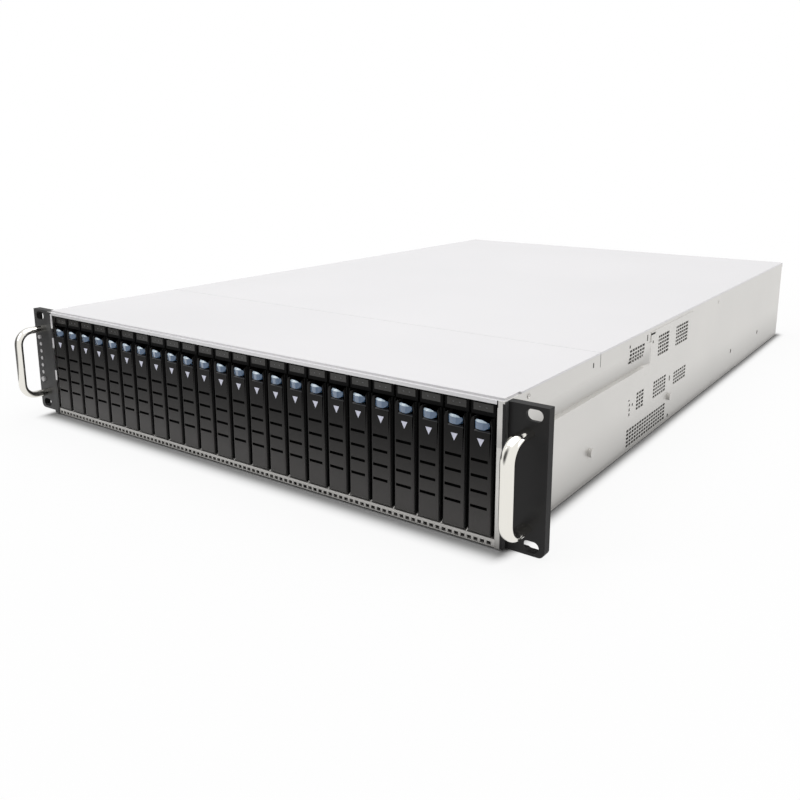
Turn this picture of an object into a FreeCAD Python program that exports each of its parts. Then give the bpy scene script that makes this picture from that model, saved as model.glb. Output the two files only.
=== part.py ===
import FreeCAD
import Part
import math
import os

# A two-unit rackmount storage chassis with 24 upright hot-swap drive carriers.
# +X is right seen from the front, +Y runs to the rear, +Z is up, sizes in mm.
# The pieces are laid out with Y = 0 on the front face of the rack ears,
# and are moved at the end so that the origin lies under the middle of the whole part.

# Sheet metal and running clearances
SHEET = 1.2
THIN_SHEET = 0.8
RUN_GAP = 0.3
SEAM = 0.5

# Drive bays
BAY_COUNT = 24
BAY_PITCH = 17.5
HINGED_BAYS = (22, 23, 24)
FRAME_PROUD = 3.0
FLOOR_TOP = 5.2
CARRIER_HEIGHT = 79.0
CARRIER_LENGTH = 125.0
BEZEL_DEPTH = 18.0
CHEEK = 0.9
DRIVE_WIDTH = 70.0
BOTTOM_RAIL = 3.0
BLANK_GAP = 2.5
LENS_HEIGHT = 4.0
LENS_DROP = 1.3
LENS_RECESS = 2.5
WEB_WINDOW_WIDTH = 10.0
WEB_WINDOW_MARGIN = 6.0

# Lever and latch button of a carrier
LEVER_THICK = 5.0
LEVER_TOP_DROP = 9.0
LEVER_GAP = 0.15
LEVER_CHAMFER = 1.6
PIVOT_RISE = 12.9
PIN_R = 1.0
PIN_CLEARANCE = 0.06
SLOT_COUNT = 4
SLOT_PITCH = 9.33
SLOT_WIDTH = 11.2
SLOT_HEIGHT = 1.4
SLOT_ABOVE_PIVOT = 3.6
BUTTON_WIDTH = 10.0
BUTTON_HEIGHT = 8.2
BUTTON_RECESS = 0.8
BUTTON_TRAVEL = 1.5
BUTTON_GAP = 0.25

# Body of the chassis
FLANGE_WIDTH = 6.0
FLANGE_SETBACK = 1.5
BODY_DEPTH = 681.0
COVER_OVERHANG = 2.0
REAR_LIP_GAP = 0.8
FRONT_LIP_DEPTH = 2.6
LID_CORNER_DEPTH = 19.2
LID_CORNER_INSET = 1.5
FRONT_COVER_LAP = 6.0
CREASE_DEPTH = 2.6
CREASE_TOP = 74.0
CREASE_BOTTOM = 60.0
CREASE_END = 226.0
LEDGE = 0.8
PAD_RISE = 0.5
PAD_LENGTH = 105.0
PAD_BOTTOM = 52.0
TOP_FLANGE = 12.0

# Front sill
SILL_BOTTOM = 0.5
SILL_HOLES_PER_BAY = 4
SILL_HOLE_WIDTH = 2.8
SILL_HOLE_HEIGHT = 2.1
FIN_HEIGHT = 4.0
DIVIDER_SETBACK = 6.0

# Vents of the side walls: start along Y, length, lowest edge and height of each group
VENT_ROW = 2.9
VENT_SLOT = 1.9
VENTS = {
    "upper_front": (183.0, 30.0, 68.0, 11.6),
    "upper_middle": (243.0, 25.0, 62.2, 17.4),
    "upper_rear": (286.0, 31.0, 62.2, 17.4),
    "middle_front": (202.0, 15.0, 28.5, 14.5),
    "middle_middle": (239.0, 29.0, 28.5, 14.5),
    "middle_rear": (288.0, 32.0, 28.5, 11.6),
    "lower_long": (185.0, 85.0, 3.6, 14.5),
}

# Single openings of the side walls: a round hole, and slits with their middle, length and height
PUNCH_R = 1.6
PUNCH_Y = 279.0
PUNCH_Z = 3.8
SLITS = {
    "catch_low": (277.8, 36.4, 2.4, 4.4),
    "catch_front": (218.5, 81.4, 2.0, 5.0),
    "catch_top": (230.2, 82.8, 9.0, 1.6),
    "catch_rear": (230.4, 76.2, 2.2, 2.2),
    "vent_corner": (182.6, 81.4, 2.2, 2.2),
    "loose_top": (186.5, 39.8, 3.0, 1.0),
    "loose_upper": (187.9, 36.2, 2.2, 2.2),
    "loose_rear": (194.1, 35.0, 2.2, 2.2),
    "loose_lower": (188.1, 32.4, 2.2, 2.2),
    "loose_bottom": (188.2, 28.7, 2.2, 2.2),
}

# Inner rail fixings of the side walls
RAIL_HEIGHT = 21.0
RAIL_STUDS = (117.0, 277.0)
RAIL_STUD_R = 3.0
RAIL_STUD_RISE = 2.4
RAIL_HOLE_FIRST = 470.0
RAIL_HOLE_SPACING = 110.0
RAIL_HOLE_R = 2.25

# Rack ears and pull handles
EAR_WIDTH = 25.3
EAR_BOTTOM = 0.3
EAR_HEIGHT = 86.7
EAR_PLATE = 2.5
EAR_RIM = 6.0
EAR_CORNER_R = 4.0
EAR_FLANGE = 2.4
EAR_FLANGE_DEPTH = 40.0
EAR_FLANGE_BOTTOM = 8.0
RACK_HOLE_INSET = 8.75
RACK_HOLE_EDGE = 5.25
RACK_SLOT_WIDTH = 6.8
RACK_SLOT_LENGTH = 10.4
HANDLE_INSET = 12.3
HANDLE_SPACING = 55.0
HANDLE_REACH = 25.5
HANDLE_WIDTH = 8.5
HANDLE_THICK = 5.5
HANDLE_BEND = 11.0

# Control column of the left ear
CONTROL_INSET = 6.3
CONTROL_TOP = 63.0
CONTROL_PITCH = 6.15
LIGHT_COUNT = 5
LIGHT_R = 1.5
RESET_R = 1.6
POWER_R = 2.2
CONTROL_PROUD = 0.5
CONTROL_TRAVEL = 0.8
CAP_FLANGE = 0.6
BOARD_WIDTH = 7.6
BOARD_THICK = 1.4
BOARD_GAP = 0.2

# Backplane
BACKPLANE_THICK = 2.0
CONNECTOR_LENGTH = 42.0
CONNECTOR_WIDTH = 5.0
CONNECTOR_DEPTH = 6.5
CONNECTOR_BOTTOM = 22.0
AIR_SLOT_WIDTH = 6.0
AIR_SLOT_HEIGHT = 52.0

# Fan wall
FAN_COUNT = 3
FAN_PITCH = 132.0
FAN_WALL_Y = 292.0
FAN_SIZE = 80.0
FAN_DEPTH = 38.0
FAN_BORE_R = 38.0
ROTOR_R = 36.5
HUB_R = 17.0
SHAFT_R = 2.0
SHAFT_CLEARANCE = 0.08
BLADE_COUNT = 7
BLADE_CHORD = 24.0
BLADE_THICK = 1.6
BLADE_PITCH = 38.0
SPOKE_WIDTH = 5.0
SPIDER_DEPTH = 4.0

# Power supplies
PSU_WIDTH = 73.5
PSU_HEIGHT = 39.5
PSU_LENGTH = 185.0
PSU_GAP = 0.4
PSU_SIDE = 2.6
INLET_WIDTH = 27.0
INLET_HEIGHT = 20.0
INLET_DEPTH = 14.0
INLET_MARGIN = 5.0
PULL_WIDTH = 9.0
PULL_SPAN = 32.0
PULL_REACH = 20.0
PULL_THICK = 4.0
PULL_BEND = 5.0
GRILLE_COUNT = 6
GRILLE_SLOT = 2.6
GRILLE_MARGIN = 4.0
GRILLE_DEPTH = 3.0

# Rear panel
IO_WIDTH = 158.75
IO_HEIGHT = 44.45
IO_BOTTOM = 7.5
WINDOW_MARGIN = 4.0
SLOT_COVER_COUNT = 7
SLOT_COVER_PITCH = 20.32
SLOT_COVER_WIDTH = 18.4
SLOT_COVER_HEIGHT = 74.0
SLOT_WINDOW_WIDTH = 13.0
SLOT_WINDOW_HEIGHT = 66.0
REAR_VENT_COUNT = 14
REAR_VENT_MARGIN = 7.5

# Board standoffs
STANDOFF_X = (0.0, 124.46, 281.94)
STANDOFF_Y = (0.0, 154.94, 227.33)
STANDOFF_RISE = 6.4
STANDOFF_ACROSS = 6.0
STANDOFF_BORE_R = 1.25
STANDOFF_REAR = 18.0
STANDOFF_EDGE = 12.0

# Heights and planes worked out from the sizes above
FRONT = -FRAME_PROUD
FIELD = BAY_COUNT * BAY_PITCH / 2
CAGE_DEPTH = FRONT + CARRIER_LENGTH
FRONT_COVER_END = CAGE_DEPTH + FRONT_COVER_LAP
BLANK_LENGTH = CARRIER_LENGTH - BEZEL_DEPTH - CONNECTOR_DEPTH - BLANK_GAP
WALL_OUT = FIELD + FLANGE_WIDTH
WALL_IN = WALL_OUT - SHEET
EAR_OUT = WALL_OUT + EAR_WIDTH
CARRIER_BOTTOM = FLOOR_TOP + RUN_GAP
CARRIER_TOP = CARRIER_BOTTOM + CARRIER_HEIGHT
CAGE_UNDER = CARRIER_TOP + RUN_GAP
BODY_TOP = CAGE_UNDER + 1.0 + SHEET
COVER_TOP = BODY_TOP + SHEET
FRAME_WIDTH = BAY_PITCH - THIN_SHEET - 2 * RUN_GAP
LEVER_WIDTH = FRAME_WIDTH - 2 * CHEEK - 2 * LEVER_GAP
LEVER_TOP = CARRIER_TOP - LEVER_TOP_DROP
PIVOT_Y = FRONT + LEVER_THICK / 2
PIVOT_Z = CARRIER_BOTTOM + PIVOT_RISE
RACK_X = EAR_OUT - RACK_HOLE_INSET
RACK_HOLE_SPACING = EAR_HEIGHT - 2 * RACK_HOLE_EDGE
EAR_MID = EAR_BOTTOM + EAR_HEIGHT / 2
HANDLE_X = EAR_OUT - HANDLE_INSET
CONTROL_X = -(EAR_OUT - CONTROL_INSET)
BOARD_FRONT = EAR_PLATE + CAP_FLANGE + BOARD_GAP + CONTROL_TRAVEL + BOARD_GAP
REAR_REACH = max(PULL_REACH, COVER_OVERHANG)
ORIGIN_Y = (BODY_DEPTH + REAR_REACH - HANDLE_REACH) / 2
FAN_MID = SHEET + FAN_SIZE / 2
PSU_OUT = WALL_IN - PSU_SIDE - PSU_GAP
PSU_IN = PSU_OUT - PSU_WIDTH
SHELF_Z = SHEET + PSU_HEIGHT + 2 * PSU_GAP
PSU_FLOORS = (SHEET + PSU_GAP, SHELF_Z + SHEET + PSU_GAP)
PSU_FRONT = BODY_DEPTH - PSU_LENGTH
REAR_LIP_BOTTOM = PSU_FLOORS[1] + PSU_HEIGHT + REAR_LIP_GAP


def box(x0, x1, y0, y1, z0, z1):
    """A block between two corners."""
    return Part.makeBox(x1 - x0, y1 - y0, z1 - z0, FreeCAD.Vector(x0, y0, z0))


def face_of(edges):
    return Part.Face(Part.Wire(edges))


def polygon(points):
    corners = [FreeCAD.Vector(*p) for p in points]
    return Part.Face(Part.makePolygon(corners + corners[:1]))


def prism_x(points, x0, x1):
    """A closed outline of (y, z) points, drawn out along X."""
    return polygon([(x0, y, z) for y, z in points]).extrude(FreeCAD.Vector(x1 - x0, 0, 0))


def prism_y(points, y0, y1):
    """A closed outline of (x, z) points, drawn out along Y."""
    return polygon([(x, y0, z) for x, z in points]).extrude(FreeCAD.Vector(0, y1 - y0, 0))


def prism_z(points, z0, z1):
    """A closed outline of (x, y) points, drawn out along Z."""
    return polygon([(x, y, z0) for x, y in points]).extrude(FreeCAD.Vector(0, 0, z1 - z0))


def rod_x(radius, x0, x1, y, z):
    return Part.makeCylinder(radius, x1 - x0, FreeCAD.Vector(x0, y, z), FreeCAD.Vector(1, 0, 0))


def rod_y(radius, x, y0, y1, z):
    return Part.makeCylinder(radius, y1 - y0, FreeCAD.Vector(x, y0, z), FreeCAD.Vector(0, 1, 0))


def slot_y(length, width, x, z, y0, y1):
    """A round-ended slot along X, cut through along Y."""
    reach = (length - width) / 2
    middle = box(x - reach, x + reach, y0, y1, z - width / 2, z + width / 2)
    ends = [rod_y(width / 2, x + side * reach, y0, y1, z) for side in (-1, 1)]
    return middle.fuse(ends)


def mirrored(shape):
    return shape.mirror(FreeCAD.Vector(0, 0, 0), FreeCAD.Vector(1, 0, 0))


def save(node, *solids):
    """Write one node, moved so that the origin is under the middle of the part."""
    shape = Part.makeCompound([s.copy() for s in solids]) if len(solids) > 1 else solids[0].copy()
    shape.translate(FreeCAD.Vector(0, -ORIGIN_Y, 0))
    shape.exportStep("parts/" + node + ".step")


def bay_x(bay):
    """The middle of a bay, counted from the left seen from the front."""
    return (bay - (BAY_COUNT + 1) / 2) * BAY_PITCH


def carrier_tray(x, hinged):
    """Bezel and rails of a carrier, from one side outline with the lever's pocket cut out."""
    back = FRONT + CARRIER_LENGTH
    web_back = FRONT + BEZEL_DEPTH
    web_front = web_back - 2
    top_rail = CARRIER_BOTTOM + BOTTOM_RAIL + DRIVE_WIDTH
    lead = 3.0
    outline = [
        (FRONT + 1, CARRIER_BOTTOM + 0.5),
        (FRONT + 1, CARRIER_TOP),
        (back - lead, CARRIER_TOP),
        (back, CARRIER_TOP - lead),
        (back, top_rail),
        (web_back, top_rail),
        (web_back, CARRIER_BOTTOM + BOTTOM_RAIL),
        (back, CARRIER_BOTTOM + BOTTOM_RAIL),
        (back, CARRIER_BOTTOM + lead / 2),
        (back - lead, CARRIER_BOTTOM),
        (web_front, CARRIER_BOTTOM),
        (web_front, CARRIER_BOTTOM + 0.5),
    ]
    half = FRAME_WIDTH / 2
    inner = half - CHEEK
    lens_top = CARRIER_TOP - LENS_DROP
    tray = prism_x(outline, x - half, x + half)
    cuts = [
        box(x - inner, x + inner, FRONT, web_front, 0, LEVER_TOP + 0.5),
        box(x - half, x + half, FRONT, FRONT + LENS_RECESS, LEVER_TOP + 0.5, COVER_TOP),
        box(x - inner, x + inner, FRONT, FRONT + LENS_RECESS + 1.2, lens_top - LENS_HEIGHT, lens_top),
        box(x - WEB_WINDOW_WIDTH / 2, x + WEB_WINDOW_WIDTH / 2, web_front, web_back,
            PIVOT_Z + WEB_WINDOW_MARGIN, LEVER_TOP - WEB_WINDOW_MARGIN),
    ]
    if hinged:
        cuts.append(rod_x(PIN_R, x - half, x + half, PIVOT_Y, PIVOT_Z))
    return tray.cut(cuts)


def carrier_lens(x):
    """The dark window over the two lights at the top of a carrier."""
    half = FRAME_WIDTH / 2 - CHEEK
    top = CARRIER_TOP - LENS_DROP
    face = FRONT + LENS_RECESS
    return box(x - half, x + half, face - 0.3, face + 1.2, top - LENS_HEIGHT, top)


def drive_blank(x):
    """The plain insert that fills a carrier until a drive is fitted."""
    half = FRAME_WIDTH / 2 - 1
    front = FRONT + BEZEL_DEPTH
    bottom = CARRIER_BOTTOM + BOTTOM_RAIL
    return box(x - half, x + half, front, front + BLANK_LENGTH, bottom, bottom + DRIVE_WIDTH)


def lever(x, hinged):
    """The front lever: a chamfered bar with a rounded top, slots and a notch for the button."""
    half = LEVER_WIDTH / 2
    back = FRONT + LEVER_THICK
    chamfer = LEVER_CHAMFER
    section = [
        (x - half + chamfer / 2, FRONT),
        (x + half - chamfer, FRONT),
        (x + half, FRONT + chamfer),
        (x + half, back),
        (x - half, back),
        (x - half, FRONT + chamfer / 2),
    ]
    bottom = PIVOT_Z - math.sqrt((PIVOT_RISE - RUN_GAP) ** 2 - (LEVER_THICK / 2) ** 2)
    bar = prism_z(section, bottom, LEVER_TOP)
    notch_floor = LEVER_TOP - BUTTON_HEIGHT - BUTTON_GAP
    half_notch = BUTTON_WIDTH / 2 + BUTTON_GAP
    shoulder = half - half_notch
    cuts = [box(x - half_notch, x + half_notch, FRONT, back, notch_floor, LEVER_TOP)]
    for side in (-1, 1):
        edge = x + side * half
        corner = [(edge, LEVER_TOP), (edge - side * shoulder, LEVER_TOP), (edge, LEVER_TOP - 3 * shoulder)]
        cuts.append(prism_y(corner, FRONT, back))
    for row in range(SLOT_COUNT):
        z = PIVOT_Z + SLOT_ABOVE_PIVOT + row * SLOT_PITCH
        reach = SLOT_WIDTH / 2
        cuts.append(box(x - reach, x + reach, FRONT, back, z - SLOT_HEIGHT / 2, z + SLOT_HEIGHT / 2))
    if hinged:
        cuts.append(rod_x(PIN_R + PIN_CLEARANCE, x - half, x + half, PIVOT_Y, PIVOT_Z))
    return bar.cut(cuts)


def hinge_pin(x):
    half = FRAME_WIDTH / 2
    return rod_x(PIN_R, x - half, x + half, PIVOT_Y, PIVOT_Z)


def latch_button(x):
    """The release button: an arched cap with a rounded front, set in the lever's notch."""
    half = BUTTON_WIDTH / 2
    front = FRONT + BUTTON_RECESS
    back = FRONT + LEVER_THICK - BUTTON_TRAVEL - BUTTON_GAP
    bottom = LEVER_TOP - BUTTON_HEIGHT
    spring_line = LEVER_TOP - 2.2
    corners = [
        FreeCAD.Vector(x - half, front, bottom),
        FreeCAD.Vector(x + half, front, bottom),
        FreeCAD.Vector(x + half, front, spring_line),
        FreeCAD.Vector(x, front, LEVER_TOP),
        FreeCAD.Vector(x - half, front, spring_line),
    ]
    arch = Part.Arc(corners[2], corners[3], corners[4]).toShape()
    sides = [Part.makeLine(corners[i], corners[j]) for i, j in ((4, 0), (0, 1), (1, 2))]
    cap = face_of(sides + [arch]).extrude(FreeCAD.Vector(0, back - front, 0))
    brow = [(front, LEVER_TOP - 3.4), (front, LEVER_TOP + 1), (front + 2, LEVER_TOP + 1)]
    return cap.cut(prism_x(brow, x - half - 1, x + half + 1))


def carriers():
    """All 24 carriers. In the hinged bays the lever and the button are nodes that move."""
    for bay in range(1, BAY_COUNT + 1):
        x = bay_x(bay)
        hinged = bay in HINGED_BAYS
        number = "%02d" % bay
        pieces = [carrier_tray(x, hinged), carrier_lens(x), drive_blank(x)]
        if hinged:
            save("carrier_" + number, *pieces, hinge_pin(x))
            save("lever_" + number, lever(x, True))
            save("latch_button_" + number, latch_button(x))
        else:
            save("carrier_" + number, *pieces, lever(x, False), latch_button(x))


def base_pan():
    """The flat floor of the chassis, behind the sill, with the side walls standing on it."""
    return box(-WALL_OUT, WALL_OUT, FRONT + SHEET, BODY_DEPTH, 0, SHEET)


def creased_sheet():
    """The front length of a side wall: its upper band leans in to a pressed crease over a ledge."""
    outer = [
        (WALL_OUT, BODY_TOP),
        (WALL_OUT, CREASE_TOP),
        (WALL_OUT - CREASE_DEPTH, CREASE_BOTTOM),
        (WALL_OUT, CREASE_BOTTOM - LEDGE),
        (WALL_OUT, SHEET),
    ]
    inner = [(x - SHEET, z) for x, z in reversed(outer)]
    sheet = prism_y(outer + inner, FRONT, CREASE_END)
    end = [outer[1], outer[3]] + inner[1:4]
    return sheet.fuse(prism_y(end, CREASE_END, CREASE_END + SHEET))


def plain_sheet():
    """The rest of a side wall, flat but for a low pressed pad round its upper vents."""
    sheet = box(WALL_IN, WALL_OUT, CREASE_END, BODY_DEPTH, SHEET, BODY_TOP)
    end = CREASE_END + PAD_LENGTH
    top = BODY_TOP - 2 * SHEET
    pad = box(WALL_IN, WALL_OUT + PAD_RISE, CREASE_END, end, PAD_BOTTOM, top)
    back = box(WALL_IN, WALL_IN + PAD_RISE, CREASE_END + 2 * SHEET, end - SHEET,
               PAD_BOTTOM + SHEET, top - SHEET)
    return sheet.fuse(pad).cut(back)


def wall_vents():
    """Rows of long vent slots and the single slits between them, as cutting blocks."""
    blocks = []
    for start, length, lowest, height in VENTS.values():
        for row in range(round(height / VENT_ROW)):
            z = lowest + row * VENT_ROW
            blocks.append(box(FIELD, WALL_OUT + 1, start, start + length, z, z + VENT_SLOT))
    for y, z, length, height in SLITS.values():
        blocks.append(box(FIELD, WALL_OUT + 1, y - length / 2, y + length / 2, z - height / 2, z + height / 2))
    return blocks


def side_wall():
    """The right side wall: bent sheet with a front flange, a top flange, vents and rail fixings."""
    flange = box(FIELD + FLANGE_SETBACK, WALL_OUT, FRONT, FRONT + SHEET, 0, BODY_TOP)
    ledge = box(WALL_OUT - TOP_FLANGE, WALL_OUT, CAGE_DEPTH + SEAM, BODY_DEPTH, BODY_TOP - SHEET, BODY_TOP)
    studs = [rod_x(RAIL_STUD_R, WALL_IN, WALL_OUT + RAIL_STUD_RISE, y, RAIL_HEIGHT) for y in RAIL_STUDS]
    wall = creased_sheet().fuse([plain_sheet(), flange, ledge] + studs)
    holes = [
        rod_x(RAIL_HOLE_R, FIELD, WALL_OUT, RAIL_HOLE_FIRST + step * RAIL_HOLE_SPACING, RAIL_HEIGHT)
        for step in (0, 1)
    ]
    holes.append(rod_x(PUNCH_R, FIELD, WALL_OUT, PUNCH_Y, PUNCH_Z))
    return wall.cut(wall_vents() + holes).removeSplitter()


def bay_floor():
    """The shelf under the carriers, folded down at the front into the perforated sill."""
    fold = [
        (FRONT, SILL_BOTTOM),
        (FRONT, FLOOR_TOP),
        (CAGE_DEPTH, FLOOR_TOP),
        (CAGE_DEPTH, SHEET),
        (CAGE_DEPTH - SHEET, SHEET),
        (CAGE_DEPTH - SHEET, FLOOR_TOP - SHEET),
        (FRONT + SHEET, FLOOR_TOP - SHEET),
        (FRONT + SHEET, SILL_BOTTOM),
    ]
    end = FIELD + FLANGE_SETBACK
    shelf = prism_x(fold, -end, end)
    pitch = BAY_PITCH / SILL_HOLES_PER_BAY
    middle = (SILL_BOTTOM + FLOOR_TOP - SHEET) / 2
    reach = SILL_HOLE_WIDTH / 2
    rise = SILL_HOLE_HEIGHT / 2
    holes = []
    for number in range(BAY_COUNT * SILL_HOLES_PER_BAY):
        x = -FIELD + (number + 0.5) * pitch
        holes.append(box(x - reach, x + reach, FRONT, FRONT + SHEET, middle - rise, middle + rise))
    return shelf.cut(holes)


def bay_dividers():
    """Thin upright plates between the carriers, each with a fin at its front foot."""
    front = FRONT + DIVIDER_SETBACK
    roof = BODY_TOP - SHEET
    outline = [
        (FRONT + 0.6, FLOOR_TOP),
        (front, FLOOR_TOP + FIN_HEIGHT),
        (front, CAGE_UNDER),
        (front, roof),
        (CAGE_DEPTH, roof),
        (CAGE_DEPTH, FLOOR_TOP),
    ]
    half = THIN_SHEET / 2
    edges = [-FIELD + number * BAY_PITCH for number in range(1, BAY_COUNT)]
    return [prism_x(outline, x - half, x + half) for x in edges]


def cage_top():
    """The roof of the drive cage, folded down at the front into a narrow lip."""
    roof = box(-WALL_IN, WALL_IN, FRONT + SHEET, CAGE_DEPTH, BODY_TOP - SHEET, BODY_TOP)
    end = FIELD + FLANGE_SETBACK
    lip = box(-end, end, FRONT, FRONT + SHEET, CAGE_UNDER, BODY_TOP)
    return roof.fuse(lip).removeSplitter()


def front_cover():
    """The fixed front part of the lid, over the drive cage, a little narrower at its front corners."""
    corner = FRONT + LID_CORNER_DEPTH
    inset = WALL_OUT - LID_CORNER_INSET
    plate = box(-WALL_OUT, WALL_OUT, corner, FRONT_COVER_END, BODY_TOP, COVER_TOP)
    nose = box(-inset, inset, FRONT + FRONT_LIP_DEPTH, corner, BODY_TOP, COVER_TOP)
    return plate.fuse(nose).removeSplitter()


def top_cover():
    """The removable lid, folded down behind the rear panel."""
    rear = BODY_DEPTH + COVER_OVERHANG
    fold = [
        (FRONT_COVER_END + SEAM, BODY_TOP),
        (FRONT_COVER_END + SEAM, COVER_TOP),
        (rear, COVER_TOP),
        (rear, REAR_LIP_BOTTOM),
        (rear - SHEET, REAR_LIP_BOTTOM),
        (rear - SHEET, BODY_TOP),
    ]
    return prism_x(fold, -WALL_OUT, WALL_OUT)


def ear_outline():
    """The front outline of the right ear, with both lower corners eased."""
    top = EAR_BOTTOM + EAR_HEIGHT
    radius = EAR_CORNER_R
    diagonal = radius * (1 - math.sqrt(0.5))
    start = FreeCAD.Vector(EAR_OUT - radius, 0, EAR_BOTTOM)
    middle = FreeCAD.Vector(EAR_OUT - diagonal, 0, EAR_BOTTOM + diagonal)
    end = FreeCAD.Vector(EAR_OUT, 0, EAR_BOTTOM + radius)
    corner = Part.Arc(start, middle, end).toShape()
    rest = [end, FreeCAD.Vector(EAR_OUT, 0, top), FreeCAD.Vector(WALL_OUT, 0, top)]
    rest += [FreeCAD.Vector(WALL_OUT, 0, EAR_BOTTOM), start]
    lines = [Part.makeLine(a, b) for a, b in zip(rest, rest[1:])]
    return face_of([corner] + lines)


def ear():
    """The right rack ear: a rimmed plate with a flange that bolts to the side wall."""
    rim = EAR_PLATE
    top = EAR_BOTTOM + EAR_HEIGHT
    plate = ear_outline().extrude(FreeCAD.Vector(0, EAR_RIM, 0))
    hollow = box(WALL_OUT + rim, EAR_OUT - rim, EAR_PLATE, EAR_RIM, EAR_BOTTOM + rim, top - rim)
    flange = box(WALL_OUT, WALL_OUT + EAR_FLANGE, FRONT + SHEET, EAR_FLANGE_DEPTH,
                 EAR_FLANGE_BOTTOM, CREASE_BOTTOM - LEDGE - 1)
    slots = []
    for side in (-1, 1):
        z = EAR_MID + side * RACK_HOLE_SPACING / 2
        slots.append(slot_y(RACK_SLOT_LENGTH, RACK_SLOT_WIDTH, RACK_X, z, 0, EAR_RIM))
    return plate.cut([hollow] + slots).fuse(flange).removeSplitter()


def control_height(step):
    return CONTROL_TOP - step * CONTROL_PITCH


def left_ear():
    """The left ear, drilled for the two buttons and the lights between them."""
    holes = [rod_y(RESET_R + RUN_GAP, CONTROL_X, 0, EAR_PLATE, control_height(0))]
    for step in range(1, LIGHT_COUNT + 1):
        holes.append(rod_y(LIGHT_R, CONTROL_X, 0, EAR_PLATE, control_height(step)))
    holes.append(rod_y(POWER_R + RUN_GAP, CONTROL_X, 0, EAR_PLATE, control_height(LIGHT_COUNT + 1)))
    return mirrored(ear()).cut(holes)


def indicator_lights():
    """Round light pipes from the control board to the front of the left ear."""
    heights = [control_height(step) for step in range(1, LIGHT_COUNT + 1)]
    return [rod_y(LIGHT_R, CONTROL_X, -CONTROL_PROUD / 2, BOARD_FRONT, z) for z in heights]


def control_cap(radius, z):
    """A round push button with a flange that keeps it behind the ear's plate."""
    stem = rod_y(radius, CONTROL_X, -CONTROL_PROUD - CONTROL_TRAVEL, EAR_PLATE + BOARD_GAP, z)
    flange = rod_y(radius + 0.7, CONTROL_X, EAR_PLATE + BOARD_GAP, EAR_PLATE + BOARD_GAP + CAP_FLANGE, z)
    return stem.fuse(flange).removeSplitter()


def control_board():
    """The narrow circuit board in the hollow of the left ear."""
    outer = -(EAR_OUT - EAR_PLATE)
    margin = CONTROL_PITCH
    bottom = control_height(LIGHT_COUNT + 1) - margin
    return box(outer, outer + BOARD_WIDTH, BOARD_FRONT, BOARD_FRONT + BOARD_THICK,
               bottom, CONTROL_TOP + margin)


def handle():
    """The right pull handle: a flat oval bar bent into a bow, swept along its middle line."""
    depth = HANDLE_REACH - HANDLE_THICK / 2
    low = EAR_MID - HANDLE_SPACING / 2
    high = EAR_MID + HANDLE_SPACING / 2
    bend = HANDLE_BEND
    slant = bend * (1 - math.sqrt(0.5))

    def at(y, z):
        return FreeCAD.Vector(HANDLE_X, y, z)

    path = Part.Wire([
        Part.makeLine(at(0, low), at(bend - depth, low)),
        Part.Arc(at(bend - depth, low), at(slant - depth, low + slant), at(-depth, low + bend)).toShape(),
        Part.makeLine(at(-depth, low + bend), at(-depth, high - bend)),
        Part.Arc(at(-depth, high - bend), at(slant - depth, high - slant), at(bend - depth, high)).toShape(),
        Part.makeLine(at(bend - depth, high), at(0, high)),
    ])
    half_x = HANDLE_WIDTH / 2
    half_z = HANDLE_THICK / 2
    ease = HANDLE_THICK * 0.3
    section = [
        (half_x - ease, half_z), (half_x, half_z - ease), (half_x, ease - half_z), (half_x - ease, -half_z),
        (ease - half_x, -half_z), (-half_x, ease - half_z), (-half_x, half_z - ease), (ease - half_x, half_z),
    ]
    ring = [FreeCAD.Vector(HANDLE_X + x, 0, low + z) for x, z in section]
    profile = Part.makePolygon(ring + ring[:1])
    return path.makePipeShell([profile], True, False)


def backplane():
    """The circuit board behind the carriers, slotted for air between its connectors."""
    front = CAGE_DEPTH
    board = box(-FIELD, FIELD, front, front + BACKPLANE_THICK, FLOOR_TOP - SHEET, BODY_TOP - SHEET)
    middle = CONNECTOR_BOTTOM + CONNECTOR_LENGTH / 2
    reach = AIR_SLOT_WIDTH / 2
    slots = []
    for edge in range(1, BAY_COUNT):
        x = -FIELD + edge * BAY_PITCH
        slots.append(box(x - reach, x + reach, front, front + BACKPLANE_THICK,
                         middle - AIR_SLOT_HEIGHT / 2, middle + AIR_SLOT_HEIGHT / 2))
    return board.cut(slots)


def backplane_connectors():
    """One drive socket behind each bay."""
    reach = CONNECTOR_WIDTH / 2
    sockets = []
    for bay in range(1, BAY_COUNT + 1):
        x = bay_x(bay)
        sockets.append(box(x - reach, x + reach, CAGE_DEPTH - CONNECTOR_DEPTH, CAGE_DEPTH,
                           CONNECTOR_BOTTOM, CONNECTOR_BOTTOM + CONNECTOR_LENGTH))
    return sockets


def fan_x(number):
    """The middle of a fan, counted from the left seen from the front."""
    return (number - (FAN_COUNT + 1) / 2) * FAN_PITCH


def fan_wall():
    """The cross wall that carries the fans, with a round port for each."""
    front = FAN_WALL_Y
    wall = box(-WALL_IN, WALL_IN, front, front + SHEET, SHEET, BODY_TOP - SHEET)
    ports = [rod_y(FAN_BORE_R, fan_x(n), front, front + SHEET, FAN_MID) for n in range(1, FAN_COUNT + 1)]
    return wall.cut(ports)


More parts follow.
